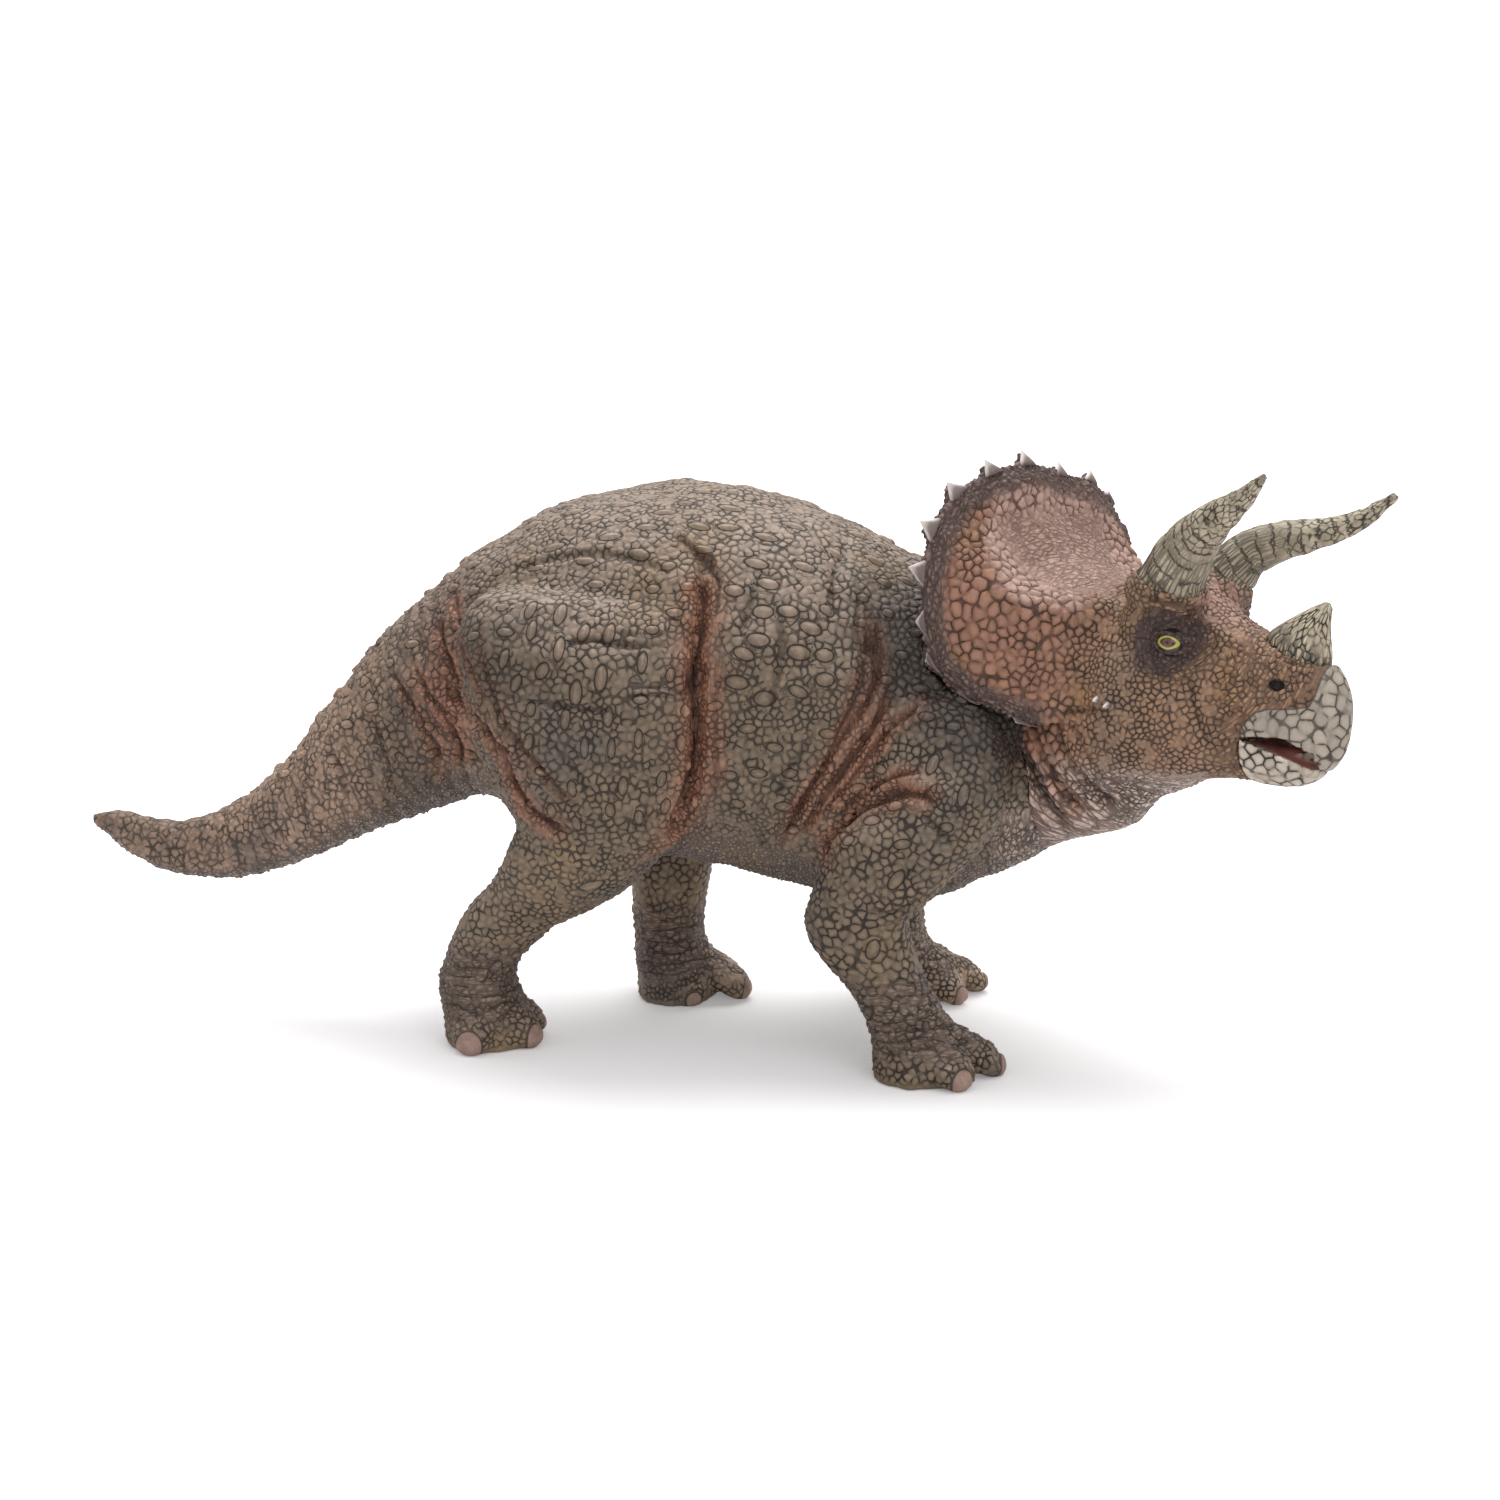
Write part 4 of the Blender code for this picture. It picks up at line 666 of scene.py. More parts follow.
def body_fields(skin, settings, stage):
    """Shape and paint the trunk, tail and legs."""
    tree = BVHTree.FromPolygons((skin.points * MM).tolist(), skin.faces.tolist())
    points = skin.points
    normals = skin.normals()
    x, y, z = points.T
    legs = sum(skin.part(node) for node in skin.nodes if "leg" in node)
    tail = skin.part("tail")
    deep, dark, rust = creases(skin, BODY_CREASES, stage, tree)
    sole = smoothstep(1.6, 0.5, z)
    ankle = legs * smoothstep(21, 15, z) * smoothstep(3, 7, z)
    rounds = tail * smoothstep(-108, -98, x)
    ring = np.where(tail > 0, (x + z * 0.35 + ripple(points, 12, 12) * 1.1) / 3.2,
                    (z + ripple(points, 9, 11) * 0.9) / 1.9)
    skin.numbers["ring"] = ring
    skin.numbers["ringed"] = np.clip(rounds * 0.8 + ankle, 0, 1)
    rings = -np.cos(ring * math.tau) * (ankle * 0.14 + rounds * 0.12)
    lumps = ripple(points, 13, 13) * 0.25 + ripple(points, 6, 14) * 0.1
    hoof = hoof_gap(points)
    hard = smoothstep(-0.3, 0.2, hoof)
    lumps = lumps * (1 - hard) - 0.35 * hump(hoof, 0.3) + 0.2 * hard
    skin.push((1 - sole) * (-deep * settings.crease_depth / MM + rings + lumps) - 0.15, normals)

    normals = skin.normals()
    usual = settings.scale_size / MM
    belly = smoothstep(-0.35, -0.8, normals[:, 2]) * (1 - legs)
    size = usual * (1 + 0.16 * ripple(points, 16, 21))
    size *= 1 - 0.32 * np.clip(rust + belly + 0.6 * dark, 0, 1)
    size *= 1 + 0.22 * skin.part("front_leg_right") * smoothstep(40, 25, z)
    size *= 1 - 0.25 * smoothstep(14, 6, z) * legs
    gap = add_scales(skin, size, 31)
    centres, axes, long, wide = knob_seats(skin, normals, stage, tree)
    reach = add_knobs(skin, centres, axes, long, wide)
    knob = smoothstep(1.05, 0.55, reach)
    ring = hump(reach - 1.15, 0.16)
    domes = smoothstep(0, 0.9, gap) * (1 - smoothstep(1.25, 1.0, reach))
    plain = (1 - sole) * (1 - 0.5 * smoothstep(0.6, 1.0, dark)) * (1 - hard)
    rise = domes * settings.scale_height / MM + knob * settings.knob_height / MM
    rise += 0.14 * hump(gap - 0.9, 0.5) * ripple(skin.points, 1.3, 22)
    skin.push(plain * (rise * (1 - 0.55 * smoothstep(0.7, 0.95, normals[:, 2])) - ring * 0.12), normals)

    points = skin.points
    up = normals[:, 2]
    tone = ripple(points, 24, 41) * 0.5 + ripple(points, 9, 42) * 0.3
    # Upward-facing skin takes the back's greyer tan: partly paint, partly painted top light and sheen
    paint = mixed(settings.body_paint, settings.back_and_top_light_paint, smoothstep(0.1, 0.75, up))
    paint = mixed(paint, settings.tail_paint, tail * smoothstep(-50, -66, x))
    paint = mixed(paint, settings.belly_paint, belly * 0.8)
    paint = mixed(paint, linear("#4C4A49"), smoothstep(0.1, 0.8, tone) * smoothstep(0.6, 0.1, up) * 0.5)
    paint = mixed(paint, linear("#826B49"), smoothstep(0.2, 0.9, -tone) * 0.35)
    hips = hump(np.hypot(x + 43, (z - 62) * 0.55), 7)
    paint = mixed(paint, settings.rust_paint, np.clip(rust * 0.85 + hips * 0.6 * (1 - legs), 0, 0.85))
    paint = mixed(paint, linear("#5E4E48"), ankle * 0.45)
    # Painted light: the far legs, the hind legs' lower parts and all legs below the knee are lightened out of
    # their shade; the tail's end is made darker
    low = smoothstep(45, 30, z) * legs
    light = 0.8 * smoothstep(8, 15, y) * low + 0.22 * smoothstep(8, 2, x) * low
    light += 0.27 * smoothstep(26, 14, z) * legs - 0.25 * smoothstep(-78, -95, x)
    paint = paint * (1 + light)[:, None]
    chest = smoothstep(44, 50, x) * smoothstep(50, 40, z) * (1 - legs)
    # Painted shadow: near black on the trunk along the frill's rim, where the frill shades the shoulders
    behind, _ = line_distance(points, from_head([stud[0] for stud in STUDS]))
    paint = mixed(paint, linear("#1E1815"), smoothstep(18, 4, behind) * 0.78)
    paint = mixed(paint, linear("#AD998C"), chest * 0.8)
    hip = hump(np.hypot(x + 38, z - 73), 12) * smoothstep(0.95, 0.5, up)
    paint = paint * (1 - 0.4 * hip)[:, None]
    paint = mixed(paint, settings.crease_paint, dark * 0.93)
    skin.colours["paint"] = paint
    wash = mixed(settings.crack_paint, linear("#3F2519"), rust)
    skin.colours["wash"] = wash
    crackle = 0.9 + 0.15 * smoothstep(20, 40, x + 0.5 * (60 - z))
    skin.numbers["crackle"] = plain * (1 - 0.55 * belly) * crackle
    skin.numbers["horny"] = np.clip(hoof, -1, 1)
    skin.numbers["folded"] = np.clip(0.9 * belly + 0.6 * ankle + 0.7 * rust + 0.3 * tail + 0.8 * chest,
                                     0, 1) * (1 - hard)
    along = np.stack([x / 0.7, y / 2.6, z / 0.7], 1)
    around = np.stack([x / 2.4, y / 2.4, z / 0.6], 1)
    flank = (rust * (1 - tail) + chest)[:, None] > 0.2
    upright = np.stack([x / 0.75, y / 1.5, z / 2.8], 1)
    leggy = legs[:, None]
    skin.vectors["fold_place"] = np.where(flank, upright, along * (1 - leggy) + around * leggy)


# Head

def to_head(points):
    """Points in the head's own frame, in millimetres: forward, left, up."""
    return (points - HEAD_PLACE) @ HEAD_AXES


def from_head(points):
    return np.asarray(points, float) @ HEAD_AXES.T + HEAD_PLACE


def inside(flat, polygon):
    """Whether flat points lie inside a polygon."""
    found = np.zeros(len(flat), bool)
    for (x1, y1), (x2, y2) in zip(polygon, polygon[1:] + polygon[:1]):
        crosses = (y1 > flat[:, 1]) != (y2 > flat[:, 1])
        found ^= crosses & (flat[:, 0] < (x2 - x1) * (flat[:, 1] - y1) / (y2 - y1 + 1e-9) + x1)
    return found


# Rim of the frill: tip of each stud's root, outward direction; then mirrored
STUDS = [
    ((-0.4, -20.0, -3.3), (-0.960, -0.150, -0.236)), ((-9.0, -24.2, -0.4), (-0.969, -0.173, -0.174)),
    ((-14.4, -27.1, 4.8), (-0.982, -0.176, -0.072)), ((-15.6, -29.0, 11.1), (-0.952, -0.305, 0.025)),
    ((-16.2, -29.4, 19.2), (-0.878, -0.385, 0.283)), ((-16.2, -27.6, 26.3), (-0.703, -0.559, 0.439)),
    ((-16.0, -22.1, 32.2), (-0.478, -0.612, 0.629)), ((-14.8, -14.3, 35.7), (-0.415, -0.486, 0.770)),
    ((-14.6, -5.0, 37.0), (-0.439, -0.201, 0.876)), ((-14.6, 5.0, 35.1), (-0.456, 0.209, 0.865)),
    ((-14.8, 14.3, 33.9), (-0.427, 0.500, 0.753)), ((-16.0, 22.1, 30.6), (-0.488, 0.625, 0.610)),
    ((-16.2, 27.6, 25.0), (-0.710, 0.565, 0.421)), ((-16.2, 29.4, 18.3), (-0.882, 0.387, 0.270)),
    ((-15.6, 29.0, 10.5), (-0.952, 0.305, 0.023)), ((-14.4, 27.1, 4.6), (-0.982, 0.176, -0.068)),
    ((-9.0, 24.2, -0.4), (-0.971, 0.173, -0.166)), ((-0.4, 20.0, -3.2), (-0.963, 0.150, -0.225)),
]
# Edge of the dish inside the frill: how far aside, and how far up
DISH = [(0, 18.5), (3.3, 18.8), (9.9, 17.4), (14.2, 16.2), (17.2, 15.5), (19.6, 15.5), (21.7, 16.2),
        (23.0, 17.5), (23.2, 19.4), (22.7, 21.9), (20.8, 24.9), (19.1, 28.0), (16.8, 30.6), (12.8, 33.4),
        (0, 35.0)]
# Creases of the head, in its own frame: points (forward, aside, up), width, depth, darkness, rust
HEAD_CREASES = [
    ([(-4.0, 17.5, 1), (-4.0, 16.1, -4.5), (-3.7, 15.0, -7.0), (-2.5, 14.8, -10.0), (-1.3, 13.6, -13.0),
      (-0.1, 11.8, -16.0), (1.4, 9.5, -19.1), (2.1, 6.1, -21.5)], 1.0, 1.6, 1.0, 0.3),
    ([(-1.9, 16.5, -1), (-1.9, 14.5, -4.8), (-0.7, 14.0, -7.2), (0.8, 13.2, -10.4), (2.4, 12.0, -13.6),
      (4.2, 10.1, -16.3), (6.2, 7.7, -18.4)], 0.8, 1.2, 0.8, 1.0),
    ([(3.0, 16.5, -2.5), (4.0, 15.6, -5.8), (6.6, 14.8, -9.4), (8.3, 12.8, -12.1), (9.5, 9.2, -14.4),
      (11.7, 7.1, -16.4)], 0.8, 1.1, 1.0, 0.4),
    ([(6.0, 16.5, -2.0), (8.2, 16.3, -5.2), (10.3, 15.4, -8.3), (12.3, 13.0, -10.9), (14.0, 9.2, -12.6)],
     0.55, 0.6, 0.6, 0.2),
    ([(24.9, 11.0, 7.6), (26.1, 11.3, 3.4), (27.5, 10.9, 0.3), (29.0, 9.8, -3.3)], 0.45, 0.45, 0.6, 0.0),
    ([(4.5, 16.9, -1.6), (6.5, 16.6, -0.5), (9.2, 16.3, 0.0), (11.5, 16.9, 0.3)], 0.6, 0.6, 0.8, 0.0),
    ([(13.1, 12.8, 20.6), (17.5, 14.2, 19.0), (20.7, 13.0, 18.5), (22.8, 10.2, 19.0)], 0.6, 0.6, 0.8, 0.0),
    ([(15.0, 13.5, 16.5), (18.5, 13.6, 17.6), (22.0, 11.5, 16.8), (24.5, 9.0, 14.5)], 0.4, 0.4, 0.6, 0.0),
    ([(34.5, 4.5, 13.6), (36.5, 4.8, 12.3), (39.0, 4.2, 11.3), (42.0, 3.0, 10.8), (44.0, 1.0, 11.2)],
     0.4, 0.5, 0.8, 0.0),
]
# Rear edge of the upper beak on the side view of the head, then round the beak outside it
BEAK_EDGE = [(43.6, 13.6), (44.2, 11.1), (44.2, 8.7), (44.1, 6.8), (43.6, 4.9), (41.5, 4.3), (37.7, 3.8),
             (35.6, 3.0), (34.5, 1.6), (33.6, 0.2), (33.4, -1.5), (36.0, -6.0), (56.0, -9.0), (56.0, 13.6)]
EYE = (21.4, 12.4)
NOSTRIL = (37.9, 6.9, 7.8)


def within(flat, outline, drawn):
    """How far flat points lie inside an outline; only its first points are an edge to measure from."""
    gap, _ = line_distance(flat, outline[:drawn])
    return np.where(inside(flat, outline), gap, -gap)


def almond(side, up):
    """Distance from the eye's middle, with 1 on the edge of the lids."""
    return (np.abs(side / 1.95) ** 1.5 + np.abs(up / 1.15) ** 2) ** 0.58


def head_fields(skin, settings):
    """Shape and paint the head with its frill."""
    place = to_head(skin.points)
    normals = skin.normals()
    aside = np.abs(place[:, 1])
    mirrored = np.stack([place[:, 0], aside, place[:, 2]], 1)
    x, _, z = place.T
    rim_line = [np.array(stud[0]) for stud in STUDS]
    rim, along = line_distance(place, rim_line)
    eye = np.hypot(x - EYE[0], z - EYE[1]) + np.where(aside > 6, 0, 20)
    lids = np.where(aside > 6, almond(x - EYE[0], z - EYE[1] + 0.12 * (x - EYE[0])), 9)
    slant = mirrored - NOSTRIL
    nostril = np.hypot((slant[:, 0] - 0.3 * slant[:, 2]) / 1.35, (slant[:, 2] + 0.2 * slant[:, 0]) / 0.85)
    nostril = np.maximum(nostril, np.abs(slant[:, 1]) / 2.5)
    beak = within(place[:, [0, 2]], BEAK_EDGE, 11)
    deep, dark, rust = (np.zeros(len(x)) for _ in range(3))
    for line, width, depth, darkness, rusty in HEAD_CREASES:
        gap, share = line_distance(mirrored, line)
        fade = smoothstep(0, 0.12, share) * smoothstep(1, 0.88, share)
        deep += fade * depth * (hump(gap, width) - 0.3 * hump(gap - 2.1 * width, width))
        dark = np.maximum(dark, fade * darkness * hump(gap, width * 0.75))
        rust = np.maximum(rust, fade * rusty * hump(gap, width * 2.6))
    face = smoothstep(9, 14, x)
    rings = 0.1 * np.cos((eye + 0.2 * ripple(place, 3, 52)) * math.tau / 0.95)
    rings *= smoothstep(2.0, 2.6, eye) * smoothstep(7.5, 5, eye)
    lid = 0.55 * hump(lids - 1.35, 0.25) - 0.8 * smoothstep(1.1, 0.9, lids) - 0.25 * hump(lids - 1.95, 0.22)
    lumps = ripple(place, 9, 53) * 0.16
    local = normals @ HEAD_AXES
    dish = within(mirrored[:, 1:], DISH, len(DISH))
    front = smoothstep(11, 8, x) * smoothstep(-0.25, 0.1, local[:, 0])
    lumps += front * (0.5 * hump(dish, 1.8) - 0.9 * smoothstep(1, 6, dish))
    step = 0.4 * smoothstep(-0.25, 0.25, beak) * smoothstep(-6, -5, z)
    mouth = smoothstep(33, 34.5, x) * smoothstep(-0.55, -0.8, local[:, 2]) * smoothstep(-5, -4, z)
    mouth *= smoothstep(3, 1.5, z) * smoothstep(7, 5.5, aside)
    deep = deep + 0.6 * mouth * smoothstep(47, 43, x) + smoothstep(1.25, 0.7, nostril)
    skin.push(-deep + rings + lid + lumps + step - 0.15, normals)

    place = to_head(skin.points)
    normals = skin.normals()
    local = normals @ HEAD_AXES
    outward = local[:, 1] * np.sign(place[:, 1])
    frill = smoothstep(9, 2, x + 0.25 * np.maximum(0, z - 20))
    dish = within(np.abs(place[:, 1:]), DISH, len(DISH)) + ripple(place, 7, 58) * 0.6
    dish = smoothstep(-0.8, 1.6, dish) * front
    worn = dish * smoothstep(18, 11, aside) * smoothstep(31, 27, z)
    back = frill * smoothstep(0.0, -0.4, local[:, 0])
    edge = smoothstep(5.0, 2.4, rim)
    throat = smoothstep(-7, -12, z) * smoothstep(30, 24, x)
    horny = smoothstep(-0.2, 0.2, beak)
    size = 0.82 + 0.68 * frill * (1 - worn) * (1 - edge)
    size += 0.2 * ripple(place, 9, 54) * size
    size = np.where(horny > 0.5, 1.7, np.maximum(size, 0.7))
    gap = add_scales(skin, size, 61)
    skin.vectors["knob_place"] = np.full((len(x), 3), 3.0)
    domes = smoothstep(0, 0.9, gap)
    height = 0.1 + 0.2 * frill * (1 - worn) + 0.04 * face
    height = height * (1 - horny) * (1 - 0.7 * smoothstep(6.5, 5, eye))
    skin.push(domes * height + 0.1 * hump(gap - 0.8, 0.5) * ripple(place, 1.1, 55) * (1 - horny), normals)

    tone = ripple(place, 15, 56) * 0.5 + ripple(place, 6, 57) * 0.3
    paint = mixed(settings.head_paint, linear("#8C6A45"), smoothstep(0, 0.8, tone) * 0.5)
    paint = mixed(paint, linear("#A07F71"), smoothstep(13, 18, z) * smoothstep(11, 6, aside) * face * 0.85)
    paint = mixed(paint, linear("#746152"), smoothstep(22, 12, x) * face * 0.6)
    paint = paint * (1 + 0.22 * smoothstep(26, 31, x) * smoothstep(-1, 3, z))[:, None]
    paint = mixed(paint, settings.frill_paint, frill)
    paint = mixed(paint, linear("#86683F"), smoothstep(0.1, 0.8, -tone) * 0.4 * frill)
    paint = mixed(paint, linear("#80705E"), back * 0.7)
    paint = mixed(paint, settings.dish_paint, dish)
    paint = mixed(paint, settings.rim_paint, edge * 0.8)
    paint = mixed(paint, linear("#C2AFA3"), throat * 0.85)
    paint = mixed(paint, linear("#7A5A4A"), smoothstep(0, -5, x) * smoothstep(-2, -5, z) * 0.4)
    plum = smoothstep(5.6, 4.4, np.hypot(x - 19.9, z - 12.0) + np.where(aside > 6, 0, 20))
    paint = mixed(paint, settings.plum_paint, plum * 0.88)
    paint = mixed(paint, settings.rust_paint, rust * 0.75)
    paint = mixed(paint, settings.crease_paint, dark * 0.9)
    paint = mixed(paint, settings.crease_paint, smoothstep(1.3, 0.9, nostril))
    paint = mixed(paint, linear("#4E2A25"), mouth)
    skin.colours["paint"] = paint
    skin.colours["wash"] = mixed(settings.head_crack_paint, linear("#4A3229"), dish)
    skin.numbers["crackle"] = (1 - 0.65 * worn) * (1 - 0.3 * edge) * (1 - 0.1 * frill)
    skin.numbers["ring"] = (eye + 0.3 * ripple(place, 4, 59)) / 1.25
    skin.numbers["ringed"] = smoothstep(1.8, 2.4, eye) * smoothstep(6.6, 5.6, eye) * (1 - horny)
    skin.numbers["folded"] = np.clip(0.9 * edge + 0.8 * worn + throat + 0.8 * smoothstep(8, 5, eye)
                                     + 0.7 * smoothstep(27, 31, x), 0, 1) * (1 - horny)
    skin.numbers["horny"] = np.clip(np.where(mouth > 0.5, -1, beak), -1, 1)
    turned = np.arctan2(z - EYE[1], x - EYE[0])
    rings = np.stack([eye / 0.75, turned * 3.0, np.zeros(len(x))], 1)
    rows = np.stack([rim / 0.85, along * 150 / 2.6, np.zeros(len(x))], 1)
    gap, share = line_distance(mirrored, HEAD_CREASES[1][0] + [(8.6, 4.0, -20.5), (10.0, 0.0, -22.0)])
    neck = np.stack([gap / 0.85, share * 9, np.zeros(len(x))], 1)
    folds = np.where(x[:, None] < 7, rows, rings)
    skin.vectors["fold_place"] = np.where(((z < -3) & (x < 23))[:, None], neck, folds)


def split_head(skin):
    """Part the head's faces into the face and the frill, so that neither is too heavy."""
    middles = to_head(skin.points[skin.faces].mean(1))
    skin.owner = np.where(middles[:, 0] < 1.0, 1, 0)
    skin.nodes = ("face", "frill")


# Horns, jaw and small pieces

# Middle of each horn from root to tip, in the head's frame
HORN_PATHS = {
    "brow_horn_right": [(14, -6.8, 15), (16.6, -7.5, 19.6), (19.1, -9.1, 23.9), (22.5, -10.6, 28.6),
                        (28.4, -13.4, 33.2), (34.9, -16.2, 37.3), (40.5, -18.6, 43)],
    "brow_horn_left": [(14.5, 6.8, 15), (16.6, 7.5, 19.6), (18.4, 8.7, 23.3), (21.3, 10, 26.7),
                       (26.2, 12.5, 29.2), (31.8, 14.9, 31.1), (37.1, 17.1, 33.9), (42.0, 18.1, 38.2),
                       (45, 18.5, 41)],
    "nose_horn": [(37.5, 0, 10), (38.0, 0, 14.1), (39.5, 0, 17.5), (42.4, 0, 21.5), (43.4, 0, 23)],
}


def horn_fields(skin, settings, name, seed):
    """Rings, grooves and cracks of one horn."""
    place = to_head(skin.points)
    path = HORN_PATHS[name]
    _, share = line_distance(place, path)
    spans = np.linalg.norm(np.diff(np.array(path), axis=0), axis=1)
    stations = np.concatenate([[0], np.cumsum(spans)])
    along = share * stations[-1]
    middle = np.stack([np.interp(along, stations, np.array(path)[:, axis]) for axis in range(3)], 1)
    offset = place - middle
    turned = np.arctan2(offset[:, 1], offset[:, 0] * 0.7 + offset[:, 2] * -0.7)
    normals = skin.normals()
    long = stations[-1]
    low = smoothstep(0.62, 0.2, share)
    grooves = np.cos(turned * 34 + ripple(place, 5, seed) * 1.5) * low * 0.05
    bands = ripple(np.stack([along * 1.0, turned * 1.2, along * 0], 1), 3.2, seed + 1) * 0.12
    skin.push(grooves + bands * (name != "nose_horn"), normals)
    radius = np.linalg.norm(offset, axis=1).max()
    blunt = name == "nose_horn"
    rolled = np.stack([np.cos(turned) * radius, np.sin(turned) * radius, along * (1 if blunt else 1.7)], 1)
    keep = skin.points
    skin.points = rolled
    add_scales(skin, np.full(len(rolled), 1.25 if blunt else 2.1), seed)
    skin.points = keep
    skin.numbers["ring"] = (along + 0.5 * np.sin(turned + seed) + 0.4 * ripple(place, 6, seed + 2)) / 2.5
    skin.numbers["ringed"] = np.full(len(place), 0.0 if blunt else 1.0)
    tone = ripple(place, 5, seed + 3)
    olive = 0.3 * (not blunt) + 0.3 * smoothstep(0, 0.9, -tone)
    paint = mixed(settings.horn_paint, linear("#8B806C"), olive) * (1.2 if blunt else 1)
    paint = mixed(paint, linear("#B5AA96"), smoothstep(0, 0.9, tone) * 0.5)
    paint = mixed(paint, linear("#6F6454"), smoothstep(0.9, 1.0, along / long) * 0.5)
    skin.colours["paint"] = paint
    skin.colours["wash"] = np.tile(settings.groove_paint, (len(place), 1))
    skin.numbers["crackle"] = np.full(len(place), 1.15) if blunt else smoothstep(0.3, 0.6, share)
    skin.numbers["folded"] = 0.95 * low
    skin.numbers["horny"] = np.full(len(place), -1.0)
    skin.vectors["knob_place"] = np.full((len(place), 3), 3.0)
    skin.vectors["fold_place"] = np.stack([turned * 6.5, along / 5.0, along * 0], 1)


def jaw_fields(skin, settings):
    """Cracks of the lower beak and paint of the tongue."""
    place = to_head(skin.points)
    x, y, z = place.T
    normals = skin.normals()
    local = normals @ HEAD_AXES
    top = smoothstep(0.35, 0.75, local[:, 2])
    skin.push(-0.5 * top * smoothstep(47, 43, x), normals)
    add_scales(skin, np.full(len(x), 1.6), 81)
    skin.numbers["ring"] = np.zeros(len(x))
    skin.numbers["ringed"] = np.zeros(len(x))
    tone = ripple(place, 5, 82)
    paint = mixed(settings.beak_paint, linear("#A99E92"), smoothstep(0, 0.8, tone) * 0.6) * 1.3
    lip = np.abs(y) - np.interp(x, [33, 38, 42, 46], [6.0, 5.2, 3.8, 1.6])
    tongue = top * smoothstep(0.3, -0.2, lip)
    paint = mixed(paint, np.array(settings.tongue_paint) * 1.5, tongue)
    skin.colours["paint"] = paint
    skin.colours["wash"] = np.tile(settings.groove_paint, (len(x), 1))
    skin.numbers["crackle"] = 1.1 - 1.1 * tongue
    skin.numbers["folded"] = np.zeros(len(x))
    skin.numbers["horny"] = np.full(len(x), -1.0)
    skin.vectors["knob_place"] = np.full((len(x), 3), 3.0)
    skin.vectors["fold_place"] = place


def lofted(name, rings, material, slot, paint):
    """Closed piece through rings of points in millimetres, with a colour for each point of a ring."""
    count = len(rings[0])
    points = np.vstack(rings + [rings[0].mean(0), rings[-1].mean(0)])
    first, last = len(points) - 2, len(points) - 1
    faces = []
    for row in range(len(rings) - 1):
        for index in range(count):
            other = (index + 1) % count
            low, high = row * count, (row + 1) * count
            faces.append((low + index, low + other, high + other, high + index))
    top = (len(rings) - 1) * count
    for index in range(count):
        other = (index + 1) % count
        faces.append((other, index, first))
        faces.append((top + index, top + other, last))
    mesh = bpy.data.meshes.new(name)
    mesh.from_pydata((points * MM).tolist(), [], faces)
    shape = bmesh.new()
    shape.from_mesh(mesh)
    bmesh.ops.recalc_face_normals(shape, faces=shape.faces)
    shape.to_mesh(mesh)
    shape.free()
    mesh.shade_smooth()
    ends = [paint[0].mean(0), paint[-1].mean(0)]
    store(mesh, "paint", "FLOAT_COLOR", "POINT", "color", np.vstack(paint + ends))
    mesh.materials.append(material)
    return mounted(placed(name, mesh), slot)


def plain_material(name, roughness, grain_size, grain_depth, clear=0.0):
    """Painted PVC without scales: smooth paint with a faint, fine unevenness."""
    material, add = new_material(name)
    place = add("TexCoord", output="Object")
    grain = add("TexNoise", {"Vector": place, "Scale": 1 / (grain_size * MM), "Detail": 3.0})
    value = add("MapRange", (grain, 0.25, 0.75, 0.86, 1.1))
    paint = add("Attribute", output="Color", attribute_name="paint")
    paint = add("VectorMath", {0: paint, "Scale": value}, operation="SCALE")
    bump = add("Bump", {"Height": grain, "Strength": 0.6, "Distance": grain_depth * MM})
    shader = add("BsdfPrincipled", {
        "Base Color": paint, "Roughness": roughness, "Normal": bump, "IOR": 1.5,
        "Specular IOR Level": 0.4, "Coat Weight": clear, "Coat Roughness": 0.08})
    add("OutputMaterial", {"Surface": shader})
    return material


def pointed(name, base, direction, sideways, long, wide, thick, colours, material, slot):
    """Flat ridged point, such as a stud's tip, with dry brush on its edges."""
    direction, sideways = (np.asarray(item, float) / np.linalg.norm(item) for item in (direction, sideways))
    through = np.cross(direction, sideways)
    rings, paint = [], []
    turns = np.arange(24) * math.tau / 24
    for along, size in ((0, 1.0), (0.2, 0.86), (0.45, 0.6), (0.7, 0.34), (0.9, 0.14), (1.0, 0.04)):
        ridge = (1 + 0.08 * np.cos(turns * 6))[:, None] * size
        ring = base + direction * long * along + np.cos(turns)[:, None] * wide * ridge * sideways
        rings.append(ring + np.sin(turns)[:, None] * thick * ridge * through)
        light = smoothstep(0.35, 0.95, along + 0.55 * np.abs(np.cos(turns)) ** 3)
        paint.append(mixed(colours[0], colours[1], light))
    return lofted(name, rings, material, slot, paint)


# Radii of the eyeball and of the round middle of its paint, in millimetres
EYEBALL = 2.35
IRIS = 0.86


